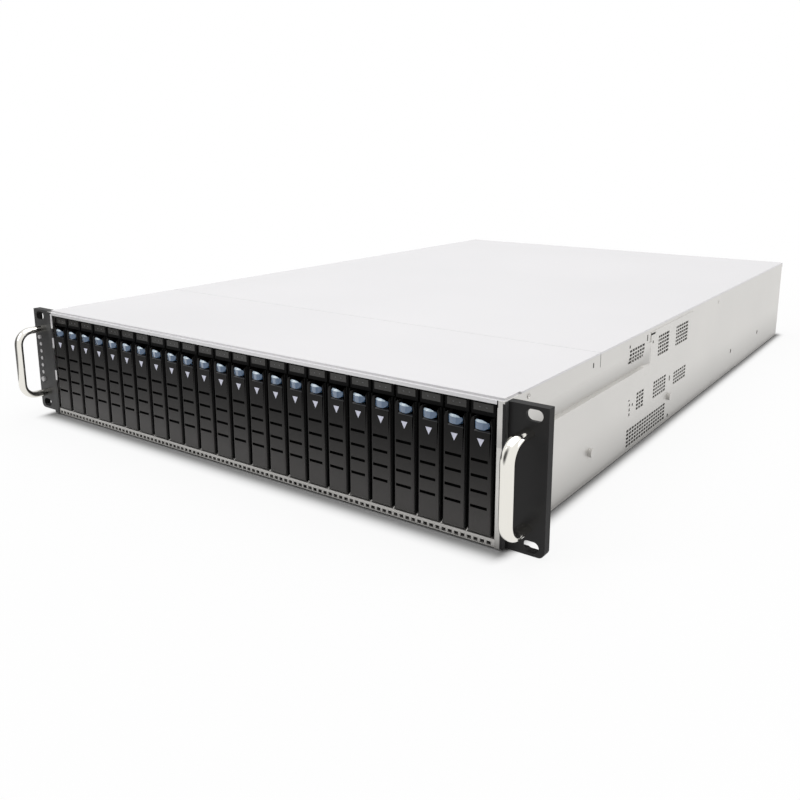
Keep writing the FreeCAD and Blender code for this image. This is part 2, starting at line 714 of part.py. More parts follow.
def fan_frame(x):
    """A square fan frame with its bore, and the spider and shaft that carry the rotor."""
    front = FAN_WALL_Y + SHEET
    back = front + FAN_DEPTH
    half = FAN_SIZE / 2
    frame = box(x - half, x + half, front, back, FAN_MID - half, FAN_MID + half)
    frame = frame.cut(rod_y(FAN_BORE_R, x, front, back, FAN_MID))
    reach = FAN_BORE_R + 1
    width = SPOKE_WIDTH / 2
    spider = rod_y(HUB_R, x, back - SPIDER_DEPTH, back, FAN_MID).fuse([
        box(x - reach, x + reach, back - SPIDER_DEPTH, back, FAN_MID - width, FAN_MID + width),
        box(x - width, x + width, back - SPIDER_DEPTH, back, FAN_MID - reach, FAN_MID + reach),
        rod_y(SHAFT_R, x, front + SPIDER_DEPTH, back, FAN_MID),
    ])
    return frame.fuse(spider).removeSplitter()


def fan_rotor(x):
    """A hub with pitched blades that turns on the frame's shaft."""
    front = FAN_WALL_Y + SHEET + 2
    back = FAN_WALL_Y + SHEET + FAN_DEPTH - SPIDER_DEPTH - 1
    middle = (front + back) / 2
    hub = rod_y(HUB_R, x, front, back, FAN_MID)
    blades = []
    for number in range(BLADE_COUNT):
        half = BLADE_CHORD / 2
        thick = BLADE_THICK / 2
        blade = box(-thick, thick, -half, half, HUB_R - 2, ROTOR_R - 1)
        blade.rotate(FreeCAD.Vector(0, 0, 0), FreeCAD.Vector(0, 0, 1), BLADE_PITCH)
        blade.rotate(FreeCAD.Vector(0, 0, 0), FreeCAD.Vector(0, 1, 0), number * 360 / BLADE_COUNT)
        blade.translate(FreeCAD.Vector(x, middle, FAN_MID))
        blades.append(blade)
    rim = rod_y(ROTOR_R, x, front, back, FAN_MID)
    wheel = hub.fuse(blades).common(rim)
    bore = rod_y(SHAFT_R + SHAFT_CLEARANCE, x, front, back, FAN_MID)
    return wheel.cut(bore).removeSplitter()


def psu_cage():
    """The sheet that parts the power supplies from the board bay, with a shelf between them."""
    wall_x = PSU_IN - PSU_GAP
    section = [
        (wall_x, SHEET), (wall_x, SHELF_Z), (WALL_IN, SHELF_Z), (WALL_IN, SHELF_Z + SHEET),
        (wall_x, SHELF_Z + SHEET), (wall_x, BODY_TOP - SHEET), (wall_x - SHEET, BODY_TOP - SHEET),
        (wall_x - SHEET, SHEET),
    ]
    return prism_y(section, PSU_FRONT, BODY_DEPTH - SHEET)


def psu_module(floor):
    """A power supply: a closed case with a mains inlet and vent slots at the rear, and a pull."""
    case = box(PSU_IN, PSU_OUT, PSU_FRONT, BODY_DEPTH, floor, floor + PSU_HEIGHT)
    middle = floor + PSU_HEIGHT / 2
    inlet_x = PSU_IN + INLET_WIDTH / 2 + INLET_MARGIN
    cuts = [box(inlet_x - INLET_WIDTH / 2, inlet_x + INLET_WIDTH / 2, BODY_DEPTH - INLET_DEPTH, BODY_DEPTH,
                middle - INLET_HEIGHT / 2, middle + INLET_HEIGHT / 2)]
    vent_x = inlet_x + INLET_WIDTH / 2 + 3
    for number in range(GRILLE_COUNT):
        z = floor + (number + 0.5) * PSU_HEIGHT / GRILLE_COUNT
        cuts.append(box(vent_x, PSU_OUT - PULL_WIDTH - GRILLE_MARGIN, BODY_DEPTH - GRILLE_DEPTH, BODY_DEPTH,
                        z - GRILLE_SLOT / 2, z + GRILLE_SLOT / 2))
    case = case.cut(cuts)
    low = middle - PULL_SPAN / 2
    high = middle + PULL_SPAN / 2
    rear = BODY_DEPTH + PULL_REACH
    bend = PULL_BEND
    bow = [
        (BODY_DEPTH, low), (rear - bend, low), (rear, low + bend), (rear, high - bend), (rear - bend, high),
        (BODY_DEPTH, high), (BODY_DEPTH, high - PULL_THICK), (rear - bend, high - PULL_THICK),
        (rear - PULL_THICK, high - bend), (rear - PULL_THICK, low + bend), (rear - bend, low + PULL_THICK),
        (BODY_DEPTH, low + PULL_THICK),
    ]
    pull = prism_x(bow, PSU_OUT - PULL_WIDTH - 1, PSU_OUT - 1)
    return case, pull


def slot_cover_x(number):
    """The middle of an expansion slot, counted from the left seen from the front."""
    return -WALL_IN + STANDOFF_EDGE + (number + 0.5) * SLOT_COVER_PITCH


def io_left():
    return slot_cover_x(SLOT_COVER_COUNT) - SLOT_COVER_PITCH / 2 + WINDOW_MARGIN


def rear_panel():
    """The rear wall, cut for the power supplies, the board's connectors and the slots."""
    front = BODY_DEPTH - SHEET
    panel = box(-WALL_IN, WALL_IN, front, BODY_DEPTH, SHEET, BODY_TOP - SHEET)
    cuts = [box(PSU_IN - PSU_GAP, PSU_OUT + PSU_GAP, front, BODY_DEPTH, SHEET, BODY_TOP - 2 * SHEET)]
    cuts.append(box(io_left(), io_left() + IO_WIDTH, front, BODY_DEPTH, IO_BOTTOM, IO_BOTTOM + IO_HEIGHT))
    for number in range(SLOT_COVER_COUNT):
        x = slot_cover_x(number)
        reach = SLOT_WINDOW_WIDTH / 2
        cuts.append(box(x - reach, x + reach, front, BODY_DEPTH, IO_BOTTOM, IO_BOTTOM + SLOT_WINDOW_HEIGHT))
    pitch = IO_WIDTH / REAR_VENT_COUNT
    for number in range(REAR_VENT_COUNT):
        x = io_left() + (number + 0.5) * pitch
        cuts.append(box(x - pitch / 4, x + pitch / 4, front, BODY_DEPTH,
                        IO_BOTTOM + IO_HEIGHT + REAR_VENT_MARGIN, BODY_TOP - REAR_VENT_MARGIN))
    return panel.cut(cuts)


def slot_covers():
    """Blank brackets behind the expansion windows."""
    back = BODY_DEPTH - SHEET
    reach = SLOT_COVER_WIDTH / 2
    bottom = IO_BOTTOM - WINDOW_MARGIN
    return [box(slot_cover_x(n) - reach, slot_cover_x(n) + reach, back - THIN_SHEET, back,
                bottom, bottom + SLOT_COVER_HEIGHT) for n in range(SLOT_COVER_COUNT)]


def board_standoffs():
    """Hexagonal threaded posts for a main board, on the floor."""
    posts = []
    radius = STANDOFF_ACROSS / math.sqrt(3)
    rear = BODY_DEPTH - STANDOFF_REAR
    left = -WALL_IN + STANDOFF_EDGE + 4
    for dx in STANDOFF_X:
        for dy in STANDOFF_Y:
            x = left + dx
            y = rear - dy
            angles = [math.radians(60 * k) for k in range(6)]
            hexagon = [(x + radius * math.cos(a), y + radius * math.sin(a)) for a in angles]
            post = prism_z(hexagon, SHEET, SHEET + STANDOFF_RISE)
            bore = Part.makeCylinder(STANDOFF_BORE_R, STANDOFF_RISE, FreeCAD.Vector(x, y, SHEET))
            posts.append(post.cut(bore))
    return posts


def main():
    os.makedirs("parts", exist_ok=True)
    carriers()
    save("base_pan", base_pan())
    wall = side_wall()
    save("side_wall_right", wall)
    save("side_wall_left", mirrored(wall))
    save("rear_panel", rear_panel())
    save("bay_floor", bay_floor())
    save("bay_dividers", *bay_dividers())
    save("cage_top", cage_top())
    save("front_cover", front_cover())
    save("top_cover", top_cover())
    save("ear_right", ear())
    save("ear_left", left_ear())
    bow = handle()
    save("handle_right", bow)
    save("handle_left", mirrored(bow))
    save("indicator_lights", *indicator_lights())
    save("reset_button", control_cap(RESET_R, CONTROL_TOP))
    save("power_button", control_cap(POWER_R, control_height(LIGHT_COUNT + 1)))
    save("control_board", control_board())
    save("backplane", backplane())
    save("backplane_connectors", *backplane_connectors())
    save("fan_wall", fan_wall())
    fans = [fan_x(number) for number in range(1, FAN_COUNT + 1)]
    save("fan_frames", *[fan_frame(x) for x in fans])
    for number, x in enumerate(fans, start=1):
        save("fan_rotor_%d" % number, fan_rotor(x))
    save("psu_cage", psu_cage())
    for number, floor in enumerate(PSU_FLOORS, start=1):
        save("psu_module_%d" % number, *psu_module(floor))
    save("slot_covers", *slot_covers())
    save("board_standoffs", *board_standoffs())


main()
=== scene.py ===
# %% [markdown]
# # Dressing a two-unit storage chassis
# The CAD model gives every piece of the chassis its place and its motion.
# This lesson adds what the eye expects: moulded drive carriers with eased edges, perforated vents,
# a chrome bow on each ear, plated steel that isn't one flat grey, and soft studio light.
# All sizes below are in millimetres and in the frame's own axes: X to the right, Y to the rear, Z up.

# %% Load the frame
import math

import bmesh
import bpy
from mathutils import Matrix, Vector


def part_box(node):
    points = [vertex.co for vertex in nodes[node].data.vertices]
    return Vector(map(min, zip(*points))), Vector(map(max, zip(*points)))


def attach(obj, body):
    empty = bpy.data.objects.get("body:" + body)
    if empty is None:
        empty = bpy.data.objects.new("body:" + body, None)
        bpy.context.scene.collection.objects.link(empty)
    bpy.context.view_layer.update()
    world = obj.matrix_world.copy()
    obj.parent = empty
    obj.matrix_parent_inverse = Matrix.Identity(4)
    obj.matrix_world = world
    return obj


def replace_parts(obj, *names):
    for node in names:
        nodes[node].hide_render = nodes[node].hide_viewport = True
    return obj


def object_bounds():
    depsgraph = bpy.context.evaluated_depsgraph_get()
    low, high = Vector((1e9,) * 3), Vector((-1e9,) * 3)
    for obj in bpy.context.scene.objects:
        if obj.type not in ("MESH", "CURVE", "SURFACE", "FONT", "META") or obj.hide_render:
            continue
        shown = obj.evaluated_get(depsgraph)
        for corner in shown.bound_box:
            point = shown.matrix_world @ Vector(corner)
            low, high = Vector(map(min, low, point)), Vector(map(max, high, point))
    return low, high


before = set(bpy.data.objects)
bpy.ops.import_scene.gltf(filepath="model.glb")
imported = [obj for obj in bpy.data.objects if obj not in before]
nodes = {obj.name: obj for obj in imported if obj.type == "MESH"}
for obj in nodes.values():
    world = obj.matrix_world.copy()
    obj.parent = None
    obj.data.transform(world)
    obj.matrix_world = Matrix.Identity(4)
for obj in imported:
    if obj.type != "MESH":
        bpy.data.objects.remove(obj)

MM = 0.001
cad_low, cad_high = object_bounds()
print("CAD box in mm:", [round(v / MM, 1) for v in cad_high - cad_low])


def size_of(node):
    """Lowest and highest corner of a CAD node, in mm."""
    low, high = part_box(node)
    return low / MM, high / MM


def add_object(name, data):
    """A new object at the origin, linked to the scene."""
    thing = bpy.data.objects.new(name, data)
    bpy.context.scene.collection.objects.link(thing)
    return thing


EAR_FACE = size_of("handle_right")[1].y
WALL_X = size_of("front_cover")[1].x
REAR_FACE = size_of("rear_panel")[1].y
print("ear face at Y", round(EAR_FACE, 1), "walls at X", round(WALL_X, 1))

# %% [markdown]
# ## The camera
# The photograph was taken close to the front right corner with a fairly wide lens, so the far end shrinks quickly.
# A camera could be placed by eye, but here its place, direction and lens were fitted to the corners of the rack ears,
# whose real sizes are known, to the body's far corners and to the gaps between the 24 bays.
# The image is a square, and its middle isn't the lens's axis, so the camera is shifted.

# %% Camera
IMAGE_PX = 800
FOCAL_PX = 830.0
AXIS_PX = (424.48, 329.76)
EYE = Vector((423.22, EAR_FACE - 382.45, 220.96)) * MM
AZIMUTH = math.radians(34.443)
ELEVATION = math.radians(12.333)
ROLL = math.radians(0.265)

flat = math.cos(ELEVATION)
back = Vector((math.sin(AZIMUTH) * flat, -math.cos(AZIMUTH) * flat, math.sin(ELEVATION)))
level = Vector((0, 0, 1)).cross(back).normalized()
upright = back.cross(level)
across = math.cos(ROLL) * level + math.sin(ROLL) * upright
upward = math.cos(ROLL) * upright - math.sin(ROLL) * level

camera = add_object("camera", bpy.data.cameras.new("camera"))
camera.matrix_world = Matrix.Translation(EYE) @ Matrix((across, upward, back)).transposed().to_4x4()
camera.data.sensor_width = 36.0
camera.data.lens = camera.data.sensor_width * FOCAL_PX / IMAGE_PX
camera.data.shift_x = (IMAGE_PX / 2 - AXIS_PX[0]) / IMAGE_PX
camera.data.shift_y = (AXIS_PX[1] - IMAGE_PX / 2) / IMAGE_PX
camera.data.clip_start = 0.01
bpy.context.scene.camera = camera
print("lens", round(camera.data.lens, 2), "mm")

# %% [markdown]
# ## Shared surface effects
# Rolled steel, powder paint and moulded plastic all vary a little over their surface: cloudy tone, fine grain, lines
# from rolling.
# Each effect is a node group built once, and every material sets its own colours and scales on it.
# The groups read Object coordinates, which stay with a piece when it moves.

# %% Node groups


def new_group(name, inputs, outputs):
    """A shader node group with named sockets, given as (name, type, value) and (name, type)."""
    group = bpy.data.node_groups.new(name, "ShaderNodeTree")
    for label, kind, value in inputs:
        socket = group.interface.new_socket(label, in_out="INPUT", socket_type=kind)
        socket.default_value = value
    for label, kind in outputs:
        group.interface.new_socket(label, in_out="OUTPUT", socket_type=kind)
    return group, group.nodes.new("NodeGroupInput"), group.nodes.new("NodeGroupOutput")


FLOAT, COLOUR = "NodeSocketFloat", "NodeSocketColor"

cloudy, entry, leave = new_group(
    "cloudy_finish",
    [("Light", COLOUR, (0.8, 0.8, 0.8, 1)), ("Dark", COLOUR, (0.6, 0.6, 0.6, 1)), ("Patches", FLOAT, 12.0),
     ("Rough Low", FLOAT, 0.3), ("Rough High", FLOAT, 0.5)],
    [("Colour", COLOUR), ("Roughness", FLOAT)])
place = cloudy.nodes.new("ShaderNodeTexCoord")
patches = cloudy.nodes.new("ShaderNodeTexNoise")
patches.inputs["Detail"].default_value = 5.0
blend = cloudy.nodes.new("ShaderNodeMix")
blend.data_type = "RGBA"
spread = cloudy.nodes.new("ShaderNodeMapRange")
cloudy.links.new(place.outputs["Object"], patches.inputs["Vector"])
cloudy.links.new(entry.outputs["Patches"], patches.inputs["Scale"])
cloudy.links.new(patches.outputs["Fac"], blend.inputs["Factor"])
cloudy.links.new(entry.outputs["Dark"], blend.inputs["A"])
cloudy.links.new(entry.outputs["Light"], blend.inputs["B"])
cloudy.links.new(patches.outputs["Fac"], spread.inputs["Value"])
cloudy.links.new(entry.outputs["Rough Low"], spread.inputs["To Min"])
cloudy.links.new(entry.outputs["Rough High"], spread.inputs["To Max"])
cloudy.links.new(blend.outputs["Result"], leave.inputs["Colour"])
cloudy.links.new(spread.outputs["Result"], leave.inputs["Roughness"])

grain, entry, leave = new_group(
    "fine_grain", [("Scale", FLOAT, 2500.0)], [("Height", FLOAT)])
place = grain.nodes.new("ShaderNodeTexCoord")
speckle = grain.nodes.new("ShaderNodeTexNoise")
speckle.inputs["Detail"].default_value = 2.0
grain.links.new(place.outputs["Object"], speckle.inputs["Vector"])
grain.links.new(entry.outputs["Scale"], speckle.inputs["Scale"])
grain.links.new(speckle.outputs["Fac"], leave.inputs["Height"])

rolled, entry, leave = new_group(
    "rolled_lines", [("Scale", FLOAT, 900.0)], [("Height", FLOAT)])
place = rolled.nodes.new("ShaderNodeTexCoord")
drawn_out = rolled.nodes.new("ShaderNodeMapping")
drawn_out.inputs["Scale"].default_value = (1.0, 0.03, 1.0)
lines = rolled.nodes.new("ShaderNodeTexNoise")
lines.inputs["Detail"].default_value = 3.0
rolled.links.new(place.outputs["Object"], drawn_out.inputs["Vector"])
rolled.links.new(drawn_out.outputs["Vector"], lines.inputs["Vector"])
rolled.links.new(entry.outputs["Scale"], lines.inputs["Scale"])
rolled.links.new(lines.outputs["Fac"], leave.inputs["Height"])
print("node groups:", [g.name for g in bpy.data.node_groups])

# %% [markdown]
# ## Finishes
# The photograph shows plated steel (bright, soft reflections), black powder-coated ears, two blacks of plastic
# (the levers are a touch greyer than the pockets behind them, partly as painted light), glossy steel-blue buttons and
# chrome bows.
# One function joins the groups to a Principled shader; colours and roughness are what differs between finishes.

# %% Materials
SHEEN_ROUGH, BUMP_STRENGTH = 0.35, 0.35


def finish(name, light, dark, patches, rough, metallic=0.0, relief=None, scale=2500.0, depth=0.02,
           coat=0.0, gloss=0.5, sheen=0.0):
    """A material with cloudy tone, varying roughness and a fine relief, either 'fine_grain' or 'rolled_lines'."""
    material = bpy.data.materials.new(name)
    material.use_nodes = True
    tree = material.node_tree
    shader = tree.nodes["Principled BSDF"]
    for label, value in (("Metallic", metallic), ("Coat Weight", coat), ("Specular IOR Level", gloss),
                         ("Sheen Weight", sheen), ("Sheen Roughness", SHEEN_ROUGH)):
        shader.inputs[label].default_value = value
    tone = tree.nodes.new("ShaderNodeGroup")
    tone.node_tree = cloudy
    tone.inputs["Light"].default_value = (*light, 1)
    tone.inputs["Dark"].default_value = (*dark, 1)
    tone.inputs["Patches"].default_value = patches
    tone.inputs["Rough Low"].default_value, tone.inputs["Rough High"].default_value = rough
    tree.links.new(tone.outputs["Colour"], shader.inputs["Base Color"])
    tree.links.new(tone.outputs["Roughness"], shader.inputs["Roughness"])
    if relief:
        texture = tree.nodes.new("ShaderNodeGroup")
        texture.node_tree = bpy.data.node_groups[relief]
        texture.inputs["Scale"].default_value = scale
        bump = tree.nodes.new("ShaderNodeBump")
        bump.inputs["Strength"].default_value = BUMP_STRENGTH
        bump.inputs["Distance"].default_value = depth * MM
        tree.links.new(texture.outputs["Height"], bump.inputs["Height"])
        tree.links.new(bump.outputs["Normal"], shader.inputs["Normal"])
    return material


plated_steel = finish("plated_steel", (0.66, 0.645, 0.62), (0.54, 0.53, 0.51), 9.0, (0.34, 0.46), 0.8, "rolled_lines")
# A paler copy of the plated steel for the lid and the frame tabs: its paleness is painted light.
lid_steel_painted_light = finish("lid_steel_painted_light", (0.70, 0.69, 0.70), (0.65, 0.645, 0.655), 6.0, (0.42, 0.52), 0.35, "rolled_lines")
ear_paint = finish("ear_paint", (0.009, 0.0085, 0.009), (0.006, 0.0058, 0.006), 30.0, (0.34, 0.46), 0.0,
                   "fine_grain", 3000.0, 0.04, gloss=0.22, sheen=1.0)
ear_edge = finish("ear_edge", (0.012, 0.0115, 0.012), (0.009, 0.0086, 0.009), 30.0, (0.40, 0.52), 0.0,
                  "fine_grain", 3000.0, 0.04, gloss=0.1)
chrome = finish("chrome", (0.86, 0.84, 0.79), (0.78, 0.76, 0.70), 14.0, (0.07, 0.14), 1.0, "fine_grain", 400.0, 0.01)
# The lever plastic's colour at the foot; the painted bounce light below darkens it towards the head.
lever_plastic_painted_light = finish("lever_plastic_painted_light", (0.083, 0.079, 0.077), (0.066, 0.063, 0.061), 60.0, (0.36, 0.48), 0.0,
                       "fine_grain", 2600.0, 0.03, gloss=0.1)
# A black plastic for the trays and inlet shrouds, also used as painted shade in slot walls, gaps, slits and screw
# holes.
black_plastic_and_shade = finish("black_plastic_and_shade", (0.005, 0.005, 0.005), (0.003, 0.003, 0.003), 60.0, (0.50, 0.65), 0.0,
                        "fine_grain", 2600.0, 0.03, gloss=0.06)
insert_plastic = finish("insert_plastic", (0.050, 0.050, 0.052), (0.038, 0.038, 0.040), 40.0, (0.45, 0.58), 0.0,
                        "fine_grain", 2200.0, 0.03, gloss=0.3)
button_blue = finish("button_blue", (0.068, 0.134, 0.235), (0.048, 0.1, 0.19), 120.0, (0.14, 0.22), 0.0,
                     "fine_grain", 3200.0, 0.005, coat=1.0)
# A painted highlight: the pale colour of the brow stands in for the light it catches.
button_painted_highlight = finish("button_painted_highlight", (0.47, 0.57, 0.64), (0.39, 0.49, 0.58), 150.0, (0.12, 0.20), 0.0,
                     "fine_grain", 3200.0, 0.005, coat=1.0)
ledge_plastic = finish("ledge_plastic", (0.02, 0.019, 0.021), (0.014, 0.0135, 0.015), 150.0, (0.25, 0.35), 0.0,
                       "fine_grain", 2600.0, 0.01)
arrow_paint = finish("arrow_paint", (0.66, 0.67, 0.78), (0.58, 0.59, 0.70), 200.0, (0.40, 0.55))
smoked_window = finish("smoked_window", (0.042, 0.041, 0.039), (0.034, 0.033, 0.031), 90.0, (0.18, 0.28), 0.0,
                       "fine_grain", 1500.0, 0.01, gloss=0.3)
light_dot = finish("light_dot", (0.055, 0.055, 0.058), (0.046, 0.046, 0.049), 300.0, (0.25, 0.35))
pin_steel = finish("pin_steel", (0.55, 0.54, 0.52), (0.45, 0.44, 0.42), 200.0, (0.25, 0.35), 1.0)
pale_plastic = finish("pale_plastic", (0.52, 0.51, 0.52), (0.44, 0.43, 0.44), 200.0, (0.35, 0.45), 0.0,
                      "fine_grain", 2600.0, 0.02)
fan_plastic = finish("fan_plastic", (0.018, 0.018, 0.019), (0.012, 0.012, 0.013), 40.0, (0.35, 0.50), 0.0,
                     "fine_grain", 2000.0, 0.03, gloss=0.3)
brass = finish("brass", (0.72, 0.52, 0.22), (0.62, 0.43, 0.17), 120.0, (0.22, 0.34), 1.0, "fine_grain", 900.0, 0.01)
print(len(bpy.data.materials), "materials")

# %% [markdown]
# Two finishes need more, and it is painted light and shade. The side walls are paler in the middle than near the floor,
# as painted shade near the floor, with a soft painted shade in the pressed crease. The levers go from black at the head
# to dark grey at the foot, as painted light bounced from the white floor, and their sheen grows towards the foot for
# the same light. All of it follows from height and depth in Object coordinates.

# %% Wall and lever painted light


def between(tree, value, low, high, start, end):
    """A smooth change from start to end while a value goes from low to high."""
    step = tree.nodes.new("ShaderNodeMapRange")
    step.interpolation_type = "SMOOTHSTEP"
    step.inputs["From Min"].default_value, step.inputs["From Max"].default_value = low, high
    step.inputs["To Min"].default_value, step.inputs["To Max"].default_value = start, end
    tree.links.new(value, step.inputs["Value"])
    return step.outputs["Result"]


def maths(tree, operation, *values):
    """A Math node. Each value is a number or the output of another node."""
    node = tree.nodes.new("ShaderNodeMath")
    node.operation = operation
    for socket, value in zip(node.inputs, values):
        if isinstance(value, float):
            socket.default_value = value
        else:
            tree.links.new(value, socket)
    return node.outputs["Value"]


def object_axes(tree):
    """X, Y and Z of the Object coordinates."""
    axes = tree.nodes.new("ShaderNodeSeparateXYZ")
    tree.links.new(tree.nodes.new("ShaderNodeTexCoord").outputs["Object"], axes.inputs["Vector"])
    return axes.outputs


def by_height(tree, axes, heights, values):
    """A smooth change between two values over a range of heights in mm."""
    return between(tree, axes["Z"], heights[0] * MM, heights[1] * MM, *values)


def tone_of(tree):
    """The cloudy colour of a finish."""
    return next(n for n in tree.nodes if n.type == "GROUP" and n.node_tree == cloudy).outputs["Colour"]


def shade(material, factor_of):
    """Multiply a material's colour by a factor that a function builds in its node tree."""
    tree = material.node_tree
    scale = tree.nodes.new("ShaderNodeVectorMath")
    scale.operation = "SCALE"
    tree.links.new(tone_of(tree), scale.inputs[0])
    tree.links.new(factor_of(tree), scale.inputs["Scale"])
    tree.links.new(scale.outputs["Vector"], tree.nodes["Principled BSDF"].inputs["Base Color"])


# Heights in mm and factors of the painted shade on the walls and of the painted bounce light on the levers.
CREASE_FROM, CREASE_TO, CREASE_END = 76.0, 60.5, 226.0
CREASE_PAINTED_SHADE, CREASE_EDGE, CREASE_FADE = 0.24, 0.8, 2.0
FOOT_HEIGHTS, FOOT_PAINTED_SHADE = (-4.0, 40.0), (0.74, 1.03)
LEVER_HEIGHTS, LEVER_PAINTED_LIGHT = (-5.0, 66.0), (1.0, 0.15)
SHEEN_HEIGHTS, BOUNCE_SHEEN_WEIGHTS = (6.0, 34.0), (1.0, 0.1)


# Painted shade: the wall is darker near the floor and in the crease, and a touch paler in the middle.
def wall_painted_light(tree):
    axes = object_axes(tree)
    foot = by_height(tree, axes, FOOT_HEIGHTS, FOOT_PAINTED_SHADE)
    crease = by_height(tree, axes, (CREASE_TO, CREASE_FROM), (CREASE_PAINTED_SHADE, 0.0))
    above = by_height(tree, axes, (CREASE_TO - CREASE_EDGE, CREASE_TO), (0.0, 1.0))
    end = (EAR_FACE + CREASE_END) * MM
    ahead = between(tree, axes["Y"], end - CREASE_FADE * MM, end, 1.0, 0.0)
    loss = maths(tree, "MULTIPLY", maths(tree, "MULTIPLY", crease, above), ahead)
    return maths(tree, "MULTIPLY", foot, maths(tree, "SUBTRACT", 1.0, loss))


# Painted light bounced from the white floor: the lever's colour is paler and its sheen stronger towards the foot.
def lever_painted_light(tree):
    axes = object_axes(tree)
    soft_light = by_height(tree, axes, SHEEN_HEIGHTS, BOUNCE_SHEEN_WEIGHTS)
    tree.links.new(soft_light, tree.nodes["Principled BSDF"].inputs["Sheen Weight"])
    return by_height(tree, axes, LEVER_HEIGHTS, LEVER_PAINTED_LIGHT)


# The side walls' own copy of the plated steel, a little paler as painted light, with the painted shade applied.
wall_steel_painted_light = finish("wall_steel_painted_light", (0.68, 0.665, 0.64), (0.57, 0.56, 0.54), 9.0, (0.34, 0.46), 0.8, "rolled_lines")
shade(wall_steel_painted_light, wall_painted_light)
shade(lever_plastic_painted_light, lever_painted_light)
print("shaded:", wall_steel_painted_light.name, lever_plastic_painted_light.name)

# %% [markdown]
# ## Circuit boards
# The boards behind the drive bays and in the left ear are green, with paler lines of copper under the varnish.
# A Brick texture gives the short right-angled runs of such lines at little cost, and its mortar becomes the copper.

# %% Circuit board finish
BLACK, WHITE, COPPER = (0, 0, 0, 1), (1, 1, 1, 1), (0.045, 0.20, 0.085, 1)
RUN_SCALE, RUN_WIDTH = 120.0, 0.03

board_green = finish("board_green", (0.020, 0.115, 0.055), (0.014, 0.085, 0.040), 25.0, (0.22, 0.34), coat=0.3)
tree = board_green.node_tree
place = tree.nodes.new("ShaderNodeTexCoord")
upright_face = tree.nodes.new("ShaderNodeMapping")
upright_face.inputs["Rotation"].default_value = (math.radians(-90), 0, 0)
runs = tree.nodes.new("ShaderNodeTexBrick")
for label, value in (("Scale", RUN_SCALE), ("Mortar Size", RUN_WIDTH), ("Color1", BLACK), ("Color2", BLACK),
                     ("Mortar", WHITE)):
    runs.inputs[label].default_value = value
over = tree.nodes.new("ShaderNodeMix")
over.data_type = "RGBA"
over.inputs["B"].default_value = COPPER
tree.links.new(place.outputs["Object"], upright_face.inputs["Vector"])
tree.links.new(upright_face.outputs["Vector"], runs.inputs["Vector"])
tree.links.new(runs.outputs["Color"], over.inputs["Factor"])
tree.links.new(tone_of(tree), over.inputs["A"])
tree.links.new(over.outputs["Result"], tree.nodes["Principled BSDF"].inputs["Base Color"])
print("board finish has", len(tree.nodes), "nodes")

# %% [markdown]
# ## Helpers for mesh work
# Every new piece starts as a bmesh in millimetres: a block, a prism or a rod, shaped by extrude, bevel, inset and cuts.
# When it is done it is scaled to metres, becomes an object at the origin and rides on the CAD body that carries it.

# %% Mesh helpers
NEAR = 1e-4
SHARP_ANGLE = math.radians(32)


def ease_edges(bm, edges, offset, segments):
    """Round edges, or chamfer them with one segment."""
    bmesh.ops.bevel(bm, geom=edges, offset=offset, segments=segments, profile=0.5, affect="EDGES", material=-1)


def new_verts(made):
    """The vertices among what an operator made."""
    return [g for g in made["geom"] if isinstance(g, bmesh.types.BMVert)]


def block(bm, low, high, ease=0.0, segments=2, material=0):
    """A block between two corners with its edges rounded by ease."""
    low, high = Vector(low), Vector(high)
    made = bmesh.ops.create_cube(bm, size=1.0)["verts"]
    bmesh.ops.scale(bm, vec=high - low, verts=made)
    bmesh.ops.translate(bm, vec=(low + high) / 2, verts=made)
    faces = {f for v in made for f in v.link_faces}
    for face in faces:
        face.material_index = material
    if ease:
        ease_edges(bm, list({e for v in made for e in v.link_edges}), ease, segments)


def prism_y(bm, outline, front, rear):
    """A closed outline of (x, z) points drawn out along Y. Returns its vertices."""
    corners = [bm.verts.new((x, front, z)) for x, z in outline]
    far = new_verts(bmesh.ops.extrude_face_region(bm, geom=[bm.faces.new(corners)]))
    bmesh.ops.translate(bm, vec=(0, rear - front, 0), verts=far)
    return corners + far


def rod(bm, start, end, radius, segments):
    """A round bar between two points. Returns its vertices."""
    start, end = Vector(start), Vector(end)
    turn = (end - start).to_track_quat("Z", "Y").to_matrix().to_4x4()
    return bmesh.ops.create_cone(bm, cap_ends=True, segments=segments, radius1=radius, radius2=radius,
                                 depth=(end - start).length,
                                 matrix=Matrix.Translation((start + end) / 2) @ turn)["verts"]


def edges_across_y(bm, y):
    """The edges that lie in one plane across Y."""
    return [e for e in bm.edges if all(abs(v.co.y - y) < NEAR for v in e.verts)]


def slice_mesh(bm, point, normal):
    """Cut through all faces along a plane, without removing anything."""
    bmesh.ops.bisect_plane(bm, geom=bm.verts[:] + bm.edges[:] + bm.faces[:], plane_co=point, plane_no=normal)


def make_piece(bm, name, materials, body, replaces=(), flat_faces=True):
    """Turn a finished bmesh into an object that rides on a CAD body."""
    bmesh.ops.scale(bm, vec=(MM, MM, MM), verts=bm.verts)
    bmesh.ops.recalc_face_normals(bm, faces=bm.faces)
    for face in bm.faces:
        face.smooth = True
    mesh = bpy.data.meshes.new(name)
    bm.to_mesh(mesh)
    bm.free()
    mesh.set_sharp_from_angle(angle=SHARP_ANGLE)
    for material in materials:
        mesh.materials.append(material)
    piece = add_object(name, mesh)
    if flat_faces:
        weighted = piece.modifiers.new("weighted_normals", "WEIGHTED_NORMAL")
        weighted.keep_sharp = True
    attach(piece, body)
    if replaces:
        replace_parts(piece, *replaces)
    return piece


print("helpers ready")

# %% [markdown]
# ## Drive carriers: the tray
# A carrier is a moulded frame: two thin cheeks beside the lever, a head over it with a smoked window for two lights,
# rails above and below the drive, and a plain insert where the drive will go.
# The CAD solid has the same parts with sharp edges; here each gets an eased edge, since that thin highlight reads as
# moulding.

